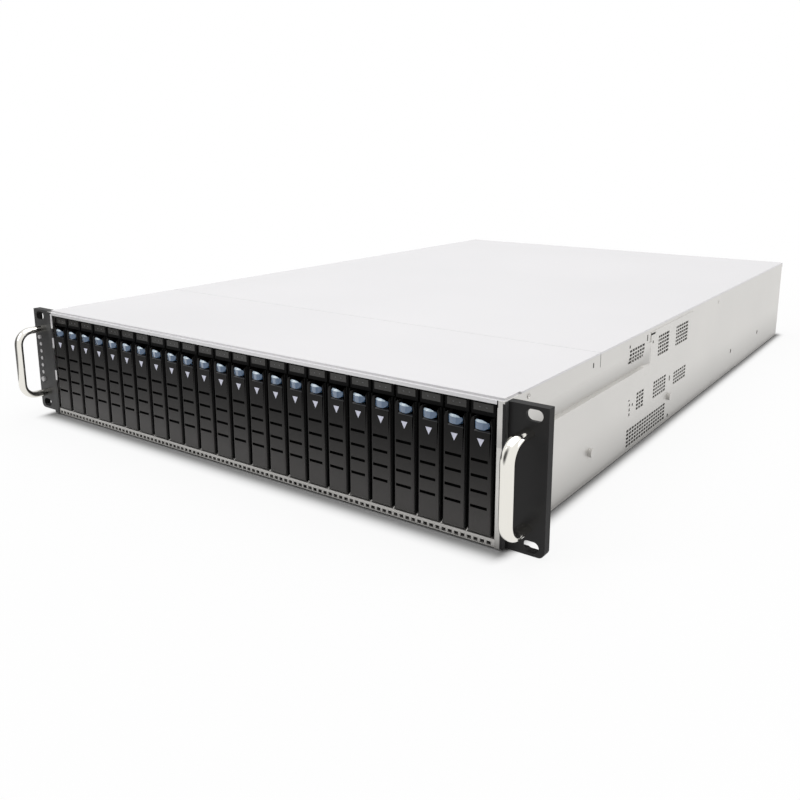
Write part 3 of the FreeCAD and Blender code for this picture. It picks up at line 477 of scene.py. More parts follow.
# %% Carrier measures
LEVER_LOW, LEVER_HIGH = size_of("lever_24")
BUTTON_LOW, BUTTON_HIGH = size_of("latch_button_24")
TRAY_LOW, TRAY_HIGH = size_of("carrier_24")
BAY_COUNT = sum(1 for n in nodes if n.startswith("carrier_"))
HINGED = [n[-2:] for n in nodes if n.startswith("lever_")]
TRAY_HALF = (TRAY_HIGH.x - TRAY_LOW.x) / 2
LEVER_HALF = (LEVER_HIGH.x - LEVER_LOW.x) / 2
BUTTON_HALF = (BUTTON_HIGH.x - BUTTON_LOW.x) / 2
CHEEK = 0.9
CHEEK_BOTTOM = TRAY_LOW.z + 0.5
WEB_FRONT, WEB_REAR = TRAY_LOW.y + 15, TRAY_LOW.y + 17
HEAD_FRONT = EAR_FACE - 0.5
HEAD_BOTTOM = LEVER_HIGH.z + 0.5
RAIL_BOTTOM, RAIL_TOP = TRAY_LOW.z + 3, TRAY_HIGH.z - 6
INSERT_REAR, INSERT_HALF = TRAY_HIGH.y - 9, TRAY_HALF - 1
PIVOT = (EAR_FACE - 0.5, TRAY_LOW.z + 12.9)


def bay_centre(number):
    low, high = size_of("carrier_" + number)
    return (low.x + high.x) / 2


def lever_body(number):
    """The body that carries a bay's lever: its own where it is hinged, else the carrier."""
    return "lever_" + number if number in HINGED else "carrier_" + number


bays = ["%02d" % n for n in range(1, BAY_COUNT + 1)]
print(BAY_COUNT, "bays, with a hinged lever in", HINGED)

# %% Trays and inserts
THIN_EASE, HEAD_EASE, RAIL_EASE, INSERT_EASE = 0.2, 0.4, 0.8, 0.6
PANEL_MARGIN, PANEL_SLOPE, PANEL_SINK = 6.0, 0.8, 0.6


def tray(number):
    x = bay_centre(number)
    left, right = x - TRAY_HALF, x + TRAY_HALF
    bm = bmesh.new()
    for start, end in ((left, left + CHEEK), (right - CHEEK, right)):
        block(bm, (start, TRAY_LOW.y, CHEEK_BOTTOM), (end, WEB_FRONT, HEAD_BOTTOM), THIN_EASE, 1)
    block(bm, (left, HEAD_FRONT, HEAD_BOTTOM), (right, WEB_FRONT, TRAY_HIGH.z), HEAD_EASE)
    block(bm, (left, WEB_FRONT, CHEEK_BOTTOM), (right, WEB_REAR, TRAY_HIGH.z), THIN_EASE, 1)
    block(bm, (left, WEB_REAR, RAIL_TOP), (right, TRAY_HIGH.y, TRAY_HIGH.z), RAIL_EASE)
    block(bm, (left, WEB_REAR, TRAY_LOW.z), (right, TRAY_HIGH.y, RAIL_BOTTOM), RAIL_EASE)
    return make_piece(bm, "bay_" + number + "_tray", [black_plastic_and_shade], "carrier_" + number)


def insert(number):
    """The plain filler in place of a drive, with a shallow panel sunk in each side."""
    x = bay_centre(number)
    bm = bmesh.new()
    block(bm, (x - INSERT_HALF, WEB_REAR, RAIL_BOTTOM), (x + INSERT_HALF, INSERT_REAR, RAIL_TOP), INSERT_EASE)
    sides = [f for f in bm.faces if abs(f.normal.x) > 0.99]
    bmesh.ops.inset_individual(bm, faces=sides, thickness=PANEL_MARGIN, depth=0.0)
    bmesh.ops.inset_individual(bm, faces=sides, thickness=PANEL_SLOPE, depth=-PANEL_SINK)
    return make_piece(bm, "bay_" + number + "_insert", [insert_plastic], "carrier_" + number)


for number in bays:
    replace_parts(tray(number), "carrier_" + number)
    insert(number)
print("made", 2 * BAY_COUNT, "trays and inserts")

# %% [markdown]
# ## Drive carriers: the lever
# The lever is a bar with a chamfered right edge, a rounded head that is notched for the button, and four air slots.
# It starts as one outline of the front view, drawn out along Y. The slots are cut with planes and pushed in,
# which leaves real recesses that catch shadow from any side; their walls are also black, as painted shade.

# %% Levers
SLOT_HEIGHT, SLOT_DEPTH, SLOT_PITCH, SLOT_COUNT = 1.8, 2.4, 9.33, 4
SLOT_LEFT, SLOT_RIGHT = -6.2, 4.9
SLOT_FIRST = PIVOT[1] + 3.6
NOTCH = BUTTON_HALF + 0.25
NOTCH_FLOOR = BUTTON_LOW.z - 0.25
NOTCH_SHIFT = 0.9
SHOULDER, CROWN, TAPER = 3.4, 1.0, 0.7
FACE_EASE, CHAMFER, LONG_EDGE, SLACK = 0.5, 1.5, 20.0, 0.1


def lever_outline():
    """The lever's front view round its middle line, from the foot at the right to the foot at the left."""
    top = LEVER_HIGH.z
    side = [(LEVER_HALF, LEVER_LOW.z), (LEVER_HALF, top - SHOULDER), (LEVER_HALF - TAPER, top - CROWN)]
    notch = [(NOTCH, top), (NOTCH, NOTCH_FLOOR), (-NOTCH, NOTCH_FLOOR), (-NOTCH, top)]
    return side + [(px + NOTCH_SHIFT, pz) for px, pz in notch] + [(-px, pz) for px, pz in reversed(side)]


def cut_slots(bm, x, front):
    """Cut the air slots into the lever's face and give their walls the second material, black as painted shade."""
    heights = [SLOT_FIRST + row * SLOT_PITCH for row in range(SLOT_COUNT)]
    for z in heights:
        slice_mesh(bm, (x, 0, z - SLOT_HEIGHT / 2), (0, 0, 1))
        slice_mesh(bm, (x, 0, z + SLOT_HEIGHT / 2), (0, 0, 1))
    for edge in (SLOT_LEFT, SLOT_RIGHT):
        slice_mesh(bm, (x + edge, 0, 0), (1, 0, 0))
    slots = []
    for face in bm.faces:
        middle = face.calc_center_median()
        level_with = any(abs(middle.z - z) < SLOT_HEIGHT / 2 for z in heights)
        if abs(middle.y - front) < 10 * NEAR and SLOT_LEFT < middle.x - x < SLOT_RIGHT and level_with:
            slots.append(face)
    deep = new_verts(bmesh.ops.extrude_face_region(bm, geom=slots))
    bmesh.ops.translate(bm, vec=(0, SLOT_DEPTH, 0), verts=deep)
    bmesh.ops.delete(bm, geom=slots, context="FACES_ONLY")
    # The slot walls are painted black: painted shade.
    for vert in deep:
        for face in vert.link_faces:
            face.material_index = 1


def lever(number):
    x = bay_centre(number)
    front, right = LEVER_LOW.y, x + LEVER_HALF
    bm = bmesh.new()
    prism_y(bm, [(x + px, pz) for px, pz in lever_outline()], front, LEVER_HIGH.y)
    rest = [e for e in edges_across_y(bm, front) if any(abs(v.co.x - right) >= NEAR for v in e.verts)]
    ease_edges(bm, rest, FACE_EASE, 2)
    corner = [e for e in bm.edges if abs(e.verts[0].co.z - e.verts[1].co.z) > LONG_EDGE
              and all(v.co.x > right - NEAR and v.co.y < front + FACE_EASE + SLACK for v in e.verts)]
    ease_edges(bm, corner, CHAMFER, 2)
    cut_slots(bm, x, front)
    body = lever_body(number)
    piece = make_piece(bm, "bay_" + number + "_lever", [lever_plastic_painted_light, black_plastic_and_shade], body)
    if number in HINGED:
        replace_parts(piece, "lever_" + number)
    return piece


for number in bays:
    made = lever(number)
print("made", BAY_COUNT, "levers of", len(made.data.polygons), "faces")

# %% [markdown]
# ## Drive carriers: button, arrow, window and pin
# The latch button is a glossy domed cap, shaped like half an eye. Its upper part leans back as a brow, whose pale
# colour is a painted highlight. Its outline is drawn out along Y and cut level under the brow, the brow is turned back,
# and the face is swelled outward. A sloped ledge closes the notch below.
# A painted triangle points down at the grip, two small lights sit behind the smoked window, and a steel pin ends in the
# cheeks.

# %% Buttons
BROW, LEAN, DOME, SINK, BACK_HEIGHT = 1.9, 36.0, 2.4, 0.3, 0.4
CAP_EASE, CAP_GAP, BROW_DEPTH = 0.5, 0.4, 1.2
LIP, LIP_GAP, LIP_DROP, LIP_PROUD = 1.2, 0.1, 0.8, 0.05
# The cap's outline: across in halves of its width, up in parts of its height.
CAP = [(-1, 0.06), (-0.8, 0), (0, 0), (0.4, 0.06), (0.75, 0.2), (1, 0.5), (0.85, 0.7), (0.5, 0.89), (0.1, 1),
       (-0.5, 1), (-0.85, 0.92), (-1, 0.75)]
CUTS = (-0.75, -0.5, -0.25, 0.25, 0.5, 0.75)


def button(number):
    x = bay_centre(number) + NOTCH_SHIFT
    half = BUTTON_HALF
    front, top, foot = LEVER_LOW.y + SINK, BUTTON_HIGH.z - CAP_GAP, NOTCH_FLOOR + LIP + LIP_GAP
    skin = CAP_EASE + SLACK
    bm = bmesh.new()
    prism_y(bm, [(x + u * half, foot + v * (top - foot)) for u, v in CAP], front, BUTTON_HIGH.y)
    ease_edges(bm, edges_across_y(bm, front), CAP_EASE, 3)
    slice_mesh(bm, (x, 0, top - BROW), (0, 0, 1))
    for cut in CUTS:
        slice_mesh(bm, (x + cut * half, 0, 0), (1, 0, 0))
    face_verts = [v for v in bm.verts if v.co.y < front + skin]
    leaning = [v for v in face_verts if v.co.z > top - BROW + NEAR]
    bmesh.ops.rotate(bm, cent=(x, front, top - BROW), matrix=Matrix.Rotation(math.radians(-LEAN), 3, "X"),
                     verts=leaning)
    for vert in face_verts:
        swell = DOME if vert.co.z > foot + skin else 0.5 * DOME
        vert.co.y -= swell * (1 - ((vert.co.x - x) / half) ** 2)
    for vert in bm.verts:
        if vert.co.y > BUTTON_HIGH.y - NEAR and vert.co.z > foot + NEAR:
            vert.co.z = foot + BACK_HEIGHT * (vert.co.z - foot)
    bm.normal_update()
    # The brow's front faces get the painted highlight.
    for face in bm.faces:
        middle = face.calc_center_median()
        in_painted_highlight = middle.z > top - BROW and middle.y < front + BROW_DEPTH
        face.material_index = int(in_painted_highlight and abs(face.normal.y) > 0.5)
    body = "latch_button_" + number if number in HINGED else "carrier_" + number
    piece = make_piece(bm, "bay_" + number + "_button", [button_blue, button_painted_highlight], body)
    if number in HINGED:
        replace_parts(piece, "latch_button_" + number)
    return piece


def ledge(number):
    """The sloped floor of the lever's notch, under the button."""
    x = bay_centre(number) + NOTCH_SHIFT
    low, high = NOTCH_FLOOR, NOTCH_FLOOR + LIP
    bm = bmesh.new()
    made = prism_y(bm, [(x - NOTCH, low), (x + NOTCH, low), (x + NOTCH, high), (x - NOTCH, high)],
                   LEVER_LOW.y - LIP_PROUD, BUTTON_LOW.y)
    upper = [v for v in made if v.co.z > (low + high) / 2 and v.co.y < BUTTON_LOW.y - NEAR]
    bmesh.ops.translate(bm, vec=(0, 0, -LIP_DROP), verts=upper)
    return make_piece(bm, "bay_" + number + "_ledge", [ledge_plastic], lever_body(number))


for number in bays:
    made = button(number)
    ledge(number)
print("made", BAY_COUNT, "buttons of", len(made.data.polygons), "faces")

# %% Arrows, windows and pins
ARROW_HALF, ARROW_TOP, ARROW_TIP, PAINT = 2.3, 63.0, 58.5, 0.06
WINDOW_BOTTOM, WINDOW_TOP, WINDOW_SIDE, WINDOW_PROUD, WINDOW_SUNK, WINDOW_EASE = 78.6, 83.2, 1.6, 0.3, 1.2, 0.25
DOT_OFFSET, DOT_WIDTH, DOT_HEIGHT, DOT_PROUD, DOT_EASE = 2.2, 1.2, 0.9, 0.36, 0.1
PIN_R, PIN_EASE, PIN_POINTS = 1.0, 0.2, 12


def arrow(number):
    x = bay_centre(number)
    front = LEVER_LOW.y
    bm = bmesh.new()
    prism_y(bm, [(x - ARROW_HALF, ARROW_TOP), (x + ARROW_HALF, ARROW_TOP), (x, ARROW_TIP)],
            front - PAINT, front + PAINT)
    return make_piece(bm, "bay_" + number + "_arrow", [arrow_paint], lever_body(number))


def window(number):
    x = bay_centre(number)
    half = TRAY_HALF - WINDOW_SIDE
    bm = bmesh.new()
    block(bm, (x - half, HEAD_FRONT - WINDOW_PROUD, WINDOW_BOTTOM), (x + half, HEAD_FRONT + WINDOW_SUNK, WINDOW_TOP),
          WINDOW_EASE)
    middle = (WINDOW_BOTTOM + WINDOW_TOP) / 2
    for dot in (x - DOT_OFFSET, x + DOT_OFFSET):
        block(bm, (dot - DOT_WIDTH / 2, HEAD_FRONT - DOT_PROUD, middle - DOT_HEIGHT / 2),
              (dot + DOT_WIDTH / 2, HEAD_FRONT, middle + DOT_HEIGHT / 2), DOT_EASE, 1, 1)
    return make_piece(bm, "bay_" + number + "_window", [smoked_window, light_dot], "carrier_" + number)


def pin(number):
    x = bay_centre(number)
    bm = bmesh.new()
    rod(bm, (x - TRAY_HALF, *PIVOT), (x + TRAY_HALF, *PIVOT), PIN_R, PIN_POINTS)
    ease_edges(bm, bm.edges[:], PIN_EASE, 1)
    return make_piece(bm, "bay_" + number + "_pin", [pin_steel], "carrier_" + number)


for number in bays:
    arrow(number)
    window(number)
    pin(number)
print("made arrows, windows and pins for", BAY_COUNT, "bays")

# %% [markdown]
# ## Steel body
# The sheet-metal pieces keep their CAD shape; they only need the plated finish, and the lid a paler, smoother one,
# whose paleness is painted light. The side walls take their own copy with painted light and shade.
# In the photograph the long vents of the side walls are rows of small holes. The CAD wall has one slot for each row,
# so narrow bars are set across the slots here, all in one light mesh for each wall.

# %% Finishes of the CAD nodes
FINISHES = {
    wall_steel_painted_light: ["side_wall_right", "side_wall_left"],
    plated_steel: ["base_pan", "rear_panel", "bay_floor", "bay_dividers",
                   "fan_wall", "psu_cage", "psu_module_1", "psu_module_2", "slot_covers"],
    lid_steel_painted_light: ["front_cover", "top_cover", "cage_top"],
    ear_paint: ["ear_right", "ear_left"],
    board_green: ["backplane", "control_board"],
    fan_plastic: ["backplane_connectors", "fan_frames", "fan_rotor_1", "fan_rotor_2", "fan_rotor_3"],
    pale_plastic: ["indicator_lights", "reset_button", "power_button"],
    brass: ["board_standoffs"],
}
for material, names in FINISHES.items():
    for name in names:
        nodes[name].data.materials.clear()
        nodes[name].data.materials.append(material)
for name in FINISHES[ear_paint]:
    nodes[name].data.materials.append(ear_edge)
    for face in nodes[name].data.polygons:
        face.material_index = int(abs(face.normal.y) < 0.5)
print("finished", sum(len(names) for names in FINISHES.values()), "CAD nodes")

# %% Vent bars
SIDES = ((1, "right"), (-1, "left"))
VENT_ROW, VENT_SLOT = 2.9, 1.9
HOLE_PITCH, BAR_WIDTH, BAR_SUNK, SHEET = 5.2, 1.25, 0.1, 1.2
# Start behind the ear face, length, height of the lowest row, count of rows.
VENTS = {
    "upper_front": (183.0, 30.0, 68.0, 4),
    "upper_middle": (243.0, 25.0, 62.2, 6),
    "upper_rear": (286.0, 31.0, 62.2, 6),
    "middle_front": (202.0, 15.0, 28.5, 5),
    "middle_middle": (239.0, 29.0, 28.5, 5),
    "middle_rear": (288.0, 32.0, 28.5, 4),
    "lower_long": (185.0, 85.0, 3.6, 5),
}


def vent_bars(side, name):
    bm = bmesh.new()
    inner, outer = sorted((side * (WALL_X - SHEET + BAR_SUNK), side * (WALL_X - BAR_SUNK)))
    for start, length, lowest, rows in VENTS.values():
        holes = round(length / HOLE_PITCH)
        for row in range(rows):
            z = lowest + row * VENT_ROW
            for bar in range(1, holes):
                y = EAR_FACE + start + bar * length / holes
                block(bm, (inner, y - BAR_WIDTH / 2, z), (outer, y + BAR_WIDTH / 2, z + VENT_SLOT))
    return make_piece(bm, name, [wall_steel_painted_light], "chassis")


for side, word in SIDES:
    made = vent_bars(side, "vent_bars_" + word)
    print(made.name, len(made.data.polygons), "faces")

# %% [markdown]
# ## Ear returns and small fixings
# Each ear is folded where it meets the body, so a thin black return covers the side of the bright front frame.
# On the left it also laps over the frame's face and leaves three short bright tabs beside the first bay.
# The front lip of the roof ends in a narrow gap on each side, shown by a thin black strip as painted shade.
# The walls have a seam where the two covers meet, a small slot beside it and a few low screws. The seam and the slot
# are thin black strips, and the screws' drive holes are black: painted shade.

# %% Ear returns
FRAME_FRONT = size_of("bay_floor")[0].y
EAR_LOW, EAR_HIGH = size_of("ear_right")
RETURN, RETURN_PROUD, RETURN_INTO = 0.7, 0.2, 0.5
RETURN_EASE, LAP_EASE, LAP_RIGHT_EASE = 0.2, 0.15, 0.12
LAP, LAP_THICK, LAP_RIGHT, LAP_RIGHT_THICK, LAP_RIGHT_TOP = 4.0, 0.5, 1.2, 0.3, 1.2
FILL, TAB, TAB_THICK, OVERLAP = 5.4, 6.2, 0.4, 0.1
CORNER_WIDTH, CORNER_REAR, CORNER_SUNK, CORNER_RISE = 1.4, 7.0, 0.5, 0.25
# Bottom and top of each tab.
TABS = ((29.5, 38.2), (57.0, 65.7), (73.7, 86.0))


def ear_return(side):
    """A mesh with the plate beside the frame, to which the laps are added."""
    bm = bmesh.new()
    inner, outer = sorted((side * WALL_X, side * (WALL_X + RETURN)))
    block(bm, (inner, FRAME_FRONT - RETURN_PROUD, EAR_LOW.z), (outer, EAR_FACE + RETURN_INTO, EAR_HIGH.z),
          RETURN_EASE, 1)
    return bm


bm = ear_return(1)
block(bm, (WALL_X - LAP_RIGHT, FRAME_FRONT - LAP_RIGHT_THICK, EAR_LOW.z),
      (WALL_X + RETURN, FRAME_FRONT, EAR_HIGH.z - LAP_RIGHT_TOP), LAP_RIGHT_EASE, 1)
make_piece(bm, "ear_return_right", [ear_paint], "chassis")

bm = ear_return(-1)
edge, lap = -WALL_X - RETURN, -WALL_X + LAP - OVERLAP
block(bm, (edge, FRAME_FRONT - LAP_THICK, EAR_LOW.z), (-WALL_X + LAP, FRAME_FRONT, EAR_HIGH.z), LAP_EASE, 1)
block(bm, (edge, FRAME_FRONT - LAP_THICK, EAR_HIGH.z - CORNER_SUNK),
      (-WALL_X + CORNER_WIDTH, EAR_FACE + CORNER_REAR, EAR_HIGH.z + CORNER_RISE))
stops = [EAR_LOW.z] + [z for tab in TABS for z in tab]
for bottom, top in zip(stops[::2], stops[1::2]):
    block(bm, (lap, FRAME_FRONT - TAB_THICK, bottom), (-WALL_X + FILL, FRAME_FRONT, top))
made = make_piece(bm, "ear_return_left", [ear_paint], "chassis")

bm = bmesh.new()
for bottom, top in TABS:
    block(bm, (lap, FRAME_FRONT - TAB_THICK, bottom), (-WALL_X + TAB, FRAME_FRONT, top), LAP_EASE, 1)
make_piece(bm, "frame_tabs", [lid_steel_painted_light], "chassis")
print("left return has", len(made.data.polygons), "faces, beside", len(TABS), "tabs")

# %% Gaps of the front lip, as painted shade
ROOF_TOP = size_of("cage_top")[1].z
GAP_HALF, GAP_HEIGHT, GAP_DEPTH, GAP_PROUD = 0.35, 4.0, 0.3, 0.04
# Each gap is a thin black strip standing just proud of the frame: painted shade.
bm = bmesh.new()
for side in (-1, 1):
    edge = side * size_of("bay_floor")[1].x
    block(bm, (edge - GAP_HALF, FRAME_FRONT - GAP_PROUD, ROOF_TOP - GAP_HEIGHT),
          (edge + GAP_HALF, FRAME_FRONT + GAP_DEPTH, ROOF_TOP + GAP_PROUD))
made = make_piece(bm, "lip_gap_shade", [black_plastic_and_shade], "chassis")
print("lip gaps:", len(made.data.polygons), "faces")

# %% Runout of the crease
CREASE_DEEP, CREASE_HIGH, CREASE_LOW, PAD_RISE, PAD_FOOT = 2.6, 74.0, 60.0, 0.5, 52.0
RUNOUT, RUNOUT_OVER, RUNOUT_TOP, RUNOUT_ROOT, UNDER, OVER = 11.5, 0.3, 3.0, 0.6, 0.02, 0.01


def runout(side, name):
    """The slope by which the pressed crease and the low pad behind it run into each other."""
    heights = [PAD_FOOT, CREASE_LOW - CREASE_EDGE, CREASE_LOW, CREASE_HIGH, CREASE_HIGH + RUNOUT_TOP]
    depths = [0.0, 0.0, CREASE_DEEP, 0.0, 0.0]
    end = EAR_FACE + CREASE_END + RUNOUT_OVER
    bm = bmesh.new()
    start = [bm.verts.new((side * (WALL_X - d - UNDER), end - RUNOUT, z)) for z, d in zip(heights, depths)]
    crest = [bm.verts.new((side * (WALL_X + PAD_RISE + OVER), end, z)) for z in heights]
    root = [bm.verts.new((side * (WALL_X - CREASE_DEEP - RUNOUT_ROOT), end, z)) for z in heights]
    for rows in ((start, crest), (crest, root), (root, start)):
        for i in range(len(heights) - 1):
            bm.faces.new((rows[0][i], rows[1][i], rows[1][i + 1], rows[0][i + 1]))
    for i in (0, -1):
        bm.faces.new((start[i], crest[i], root[i]))
    return make_piece(bm, name, [wall_steel_painted_light], "chassis")


for side, word in SIDES:
    made = runout(side, "runout_" + word)
    print(made.name, len(made.data.polygons), "faces")

# %% Seams and screws
SEAM_Y = size_of("front_cover")[1].y
# Distance behind the ear face, and height.
SCREWS = ((410.0, 80.6), (25.0, 83.6), (5.0, 84.4))
SCREW_R, SCREW_SUNK, SCREW_PROUD, SCREW_RIM, SCREW_SLOPE, SCREW_HOLE = 1.7, 0.4, 0.35, 0.3, 0.5, 0.5
SCREW_POINTS = 18
MARK_SUNK, MARK_PROUD = 0.2, 0.05
SEAM_HEIGHT, SEAM_WIDTH = 9.0, 0.5
SLIT_FROM, SLIT_TO, SLIT_LOW, SLIT_HIGH, SLIT_EASE = 12.0, 10.4, 7.0, 3.5, 0.1
STRIP_SIDE, STRIP_LOW, STRIP_HIGH, STRIP_LAP = 2.0, 1.0, 0.12, 0.05


def screw(bm, x, y, z, side):
    """A low screw head: a disc with a rim and a round drive hole, whose floor is black as painted shade."""
    made = rod(bm, (x - side * SCREW_SUNK, y, z), (x + side * SCREW_PROUD, y, z), SCREW_R, SCREW_POINTS)
    cap = max((f for v in made for f in v.link_faces), key=lambda f: side * f.calc_center_median().x)
    for width in (SCREW_RIM, SCREW_SLOPE):
        bmesh.ops.inset_individual(bm, faces=[cap], thickness=width, depth=0.0)
    bmesh.ops.translate(bm, vec=(-side * SCREW_HOLE, 0, 0), verts=cap.verts)
    cap.material_index = 1


def wall_fixings(side, name):
    bm = bmesh.new()
    for y, z in SCREWS:
        screw(bm, side * WALL_X, EAR_FACE + y, z, side)
    low, high = sorted((side * (WALL_X - MARK_SUNK), side * (WALL_X + MARK_PROUD)))
    # The seam and the slot beside it are thin black strips: painted shade.
    block(bm, (low, SEAM_Y, ROOF_TOP - SEAM_HEIGHT), (high, SEAM_Y + SEAM_WIDTH, ROOF_TOP), material=1)
    block(bm, (low, SEAM_Y - SLIT_FROM, ROOF_TOP - SLIT_LOW), (high, SEAM_Y - SLIT_TO, ROOF_TOP - SLIT_HIGH),
          SLIT_EASE, 1, 1)
    return make_piece(bm, name, [plated_steel, black_plastic_and_shade], "chassis")


bm = bmesh.new()
lid_low, lid_high = size_of("top_cover")
block(bm, (-WALL_X + STRIP_SIDE, SEAM_Y - STRIP_LAP, lid_high.z - STRIP_LOW),
      (WALL_X - STRIP_SIDE, lid_low.y + STRIP_LAP, lid_high.z - STRIP_HIGH))
make_piece(bm, "seam_strip", [lid_steel_painted_light], "chassis")
for side, word in SIDES:
    made = wall_fixings(side, "wall_fixings_" + word)
    print(made.name, len(made.data.polygons), "faces")

# %% [markdown]
# ## Rear of the power supplies
# Each supply slides out by a black pull, and has a mains inlet with three blades in a shrouded recess.
# The CAD solid has the recess and the pull; the shroud's rim and the blades are added, and the pull gets its own
# plastic.

# %% Mains inlets and pulls
INLET_WIDTH, INLET_DEPTH, INLET_MARGIN = 27.0, 14.0, 5.0
SHROUD = [(-13, -9.5), (13, -9.5), (13, 4), (8, 9.5), (-8, 9.5), (-13, 4)]
SHROUD_PROUD, SHROUD_WALL, SHROUD_FLOOR, SHROUD_BACK = 0.6, 1.6, 2.0, 0.3
# Places of the blades round the inlet's middle.
BLADES = ((-7.0, -2.0), (7.0, -2.0), (0.0, 3.0))
BLADE_WIDTH, BLADE_HEIGHT, BLADE_ROOT, BLADE_TIP, BLADE_EASE = 2.0, 4.0, 1.5, 4.0, 0.3
PULL_FROM = (REAR_FACE + 0.01) * MM


def inlet(number):
    node = "psu_module_" + number
    low, high = size_of(node)
    x = low.x + INLET_MARGIN + INLET_WIDTH / 2
    z = (low.z + high.z) / 2
    recess = REAR_FACE - INLET_DEPTH
    bm = bmesh.new()
    prism_y(bm, [(x + px, z + pz) for px, pz in SHROUD], recess + SHROUD_BACK, REAR_FACE + SHROUD_PROUD)
    bmesh.ops.recalc_face_normals(bm, faces=bm.faces)
    mouth = [f for f in bm.faces if f.normal.y > 0.9]
    bmesh.ops.inset_individual(bm, faces=mouth, thickness=SHROUD_WALL, depth=0.0)
    bmesh.ops.translate(bm, vec=(0, SHROUD_FLOOR - INLET_DEPTH, 0), verts=mouth[0].verts)
    for dx, dz in BLADES:
        middle = Vector((x + dx, 0, z + dz))
        half = Vector((BLADE_WIDTH / 2, 0, BLADE_HEIGHT / 2))
        block(bm, middle - half + Vector((0, recess + BLADE_ROOT, 0)),
              middle + half + Vector((0, REAR_FACE - BLADE_TIP, 0)), BLADE_EASE, 1, 1)
    return make_piece(bm, "mains_inlet_" + number, [black_plastic_and_shade, pin_steel], node)


for number in ("1", "2"):
    made = inlet(number)
    mesh = nodes["psu_module_" + number].data
    mesh.materials.append(fan_plastic)
    for face in mesh.polygons:
        face.material_index = int(face.center.y > PULL_FROM)
    print("inlet", number, len(made.data.polygons), "faces")

# %% [markdown]
# ## Pull handles
# Each handle is a flat oval bar bent into a bow. A sweep along a curve would do, but spin is the exact operation of a
# bending machine: the section is drawn out straight, turned about the bend's centre, drawn out again, turned and drawn
# back.

# %% Handles
BEND, HANDLE_WIDTH, HANDLE_THICK = 11.0, 8.5, 5.5
SECTION_POINTS, BEND_STEPS = 40, 16


def bow(node, name):
    low, high = size_of(node)
    x = (low.x + high.x) / 2
    reach = low.y + HANDLE_THICK / 2
    foot, head = low.z + HANDLE_THICK / 2, high.z - HANDLE_THICK / 2
    bm = bmesh.new()
    bmesh.ops.create_circle(bm, cap_ends=False, segments=SECTION_POINTS, radius=0.5)
    bmesh.ops.scale(bm, vec=(HANDLE_WIDTH, HANDLE_THICK, 1), verts=bm.verts)
    bmesh.ops.rotate(bm, cent=(0, 0, 0), matrix=Matrix.Rotation(math.radians(90), 3, "X"), verts=bm.verts)
    bmesh.ops.translate(bm, vec=(x, high.y, foot), verts=bm.verts)
    ring = bm.edges[:]

    def draw(ring, travel):
        made = bmesh.ops.extrude_edge_only(bm, edges=ring)
        bmesh.ops.translate(bm, vec=travel, verts=new_verts(made))
        return [g for g in made["geom"] if isinstance(g, bmesh.types.BMEdge)]

    def bend(ring, centre):
        verts = list({v for e in ring for v in e.verts})
        last = bmesh.ops.spin(bm, geom=verts + ring, cent=(x, *centre), axis=(1, 0, 0), angle=math.radians(-90),
                              steps=BEND_STEPS, use_duplicate=False)["geom_last"]
        return [g for g in last if isinstance(g, bmesh.types.BMEdge)]

    ring = draw(ring, (0, reach + BEND - high.y, 0))
    ring = bend(ring, (reach + BEND, foot + BEND))
    ring = draw(ring, (0, 0, head - foot - 2 * BEND))
    ring = bend(ring, (reach + BEND, head - BEND))
    draw(ring, (0, high.y - reach - BEND, 0))
    bmesh.ops.remove_doubles(bm, verts=bm.verts, dist=NEAR)
    bmesh.ops.holes_fill(bm, edges=[e for e in bm.edges if e.is_boundary], sides=0)
    return make_piece(bm, name, [chrome], "chassis", [node], flat_faces=False)


for node, name in (("handle_right", "bow_right"), ("handle_left", "bow_left")):
    made = bow(node, name)
    print(name, "spans", [round(d, 1) for d in made.dimensions / MM])

# %% [markdown]
# ## Floor, light and background
# The photograph is a product shot on white: a pale top, a greyer side and a soft shadow under the edges.
# The floor is white and takes the shadow, and close to the body its colour is darkened as a painted contact shadow.
# For camera and glossy rays the floor and the world are mostly white themselves, so the background is clean without
# flooding the chassis with light; only a narrow belt round the body keeps its full shadow.
# Two soft dark cards, which only reflections show, give the bright handles their dark streaks.

# %% Floor
FLOOR_SIZE, FLOOR_Z = 20.0, cad_low.z - 0.0008
REAR_INSET, FRONT_BELT = 1.5, 0.55
NEAR_BELT, NEAR_WHITE = (1.0, 11.0), (0.0, 0.9)
FAR_BELT, FAR_WHITE = (60.0, 300.0), (0.0, 0.1)
# Painted contact shadow: the floor's colour over a belt round the body, in mm.
CONTACT_SHADOW_BELT, PAINTED_CONTACT_SHADOW = (0.0, 8.0), (0.34, 0.86)


def empty_material(name):
    """A material without nodes, and its tree."""
    material = bpy.data.materials.new(name)
    material.use_nodes = True
    material.node_tree.nodes.clear()
    return material, material.node_tree


def vector_maths(tree, operation, vector, factors=None):
    """A Vector Math node: the length of a vector, or its product with constant factors."""
    node = tree.nodes.new("ShaderNodeVectorMath")
    node.operation = operation
    tree.links.new(vector, node.inputs[0])
    if factors:
        node.inputs[1].default_value = factors
    return node.outputs["Value" if operation == "LENGTH" else "Vector"]


def seen_or_mirrored(tree):
    """1 for rays that show the background: camera, glossy and transmission rays."""
    path = tree.nodes.new("ShaderNodeLightPath").outputs
    either = maths(tree, "MAXIMUM", path["Is Camera Ray"], path["Is Glossy Ray"])
    return maths(tree, "MAXIMUM", either, path["Is Transmission Ray"])


def outside(tree, coordinate, reach):
    """How far a floor point lies beyond the body's half length along an axis."""
    return maths(tree, "MAXIMUM", maths(tree, "SUBTRACT", maths(tree, "ABSOLUTE", coordinate), reach * MM), 0.0)


def over_belt(tree, distance, belt, values):
    """A smooth change between two values over a belt round the body, in mm."""
    return between(tree, distance, belt[0] * MM, belt[1] * MM, *values)


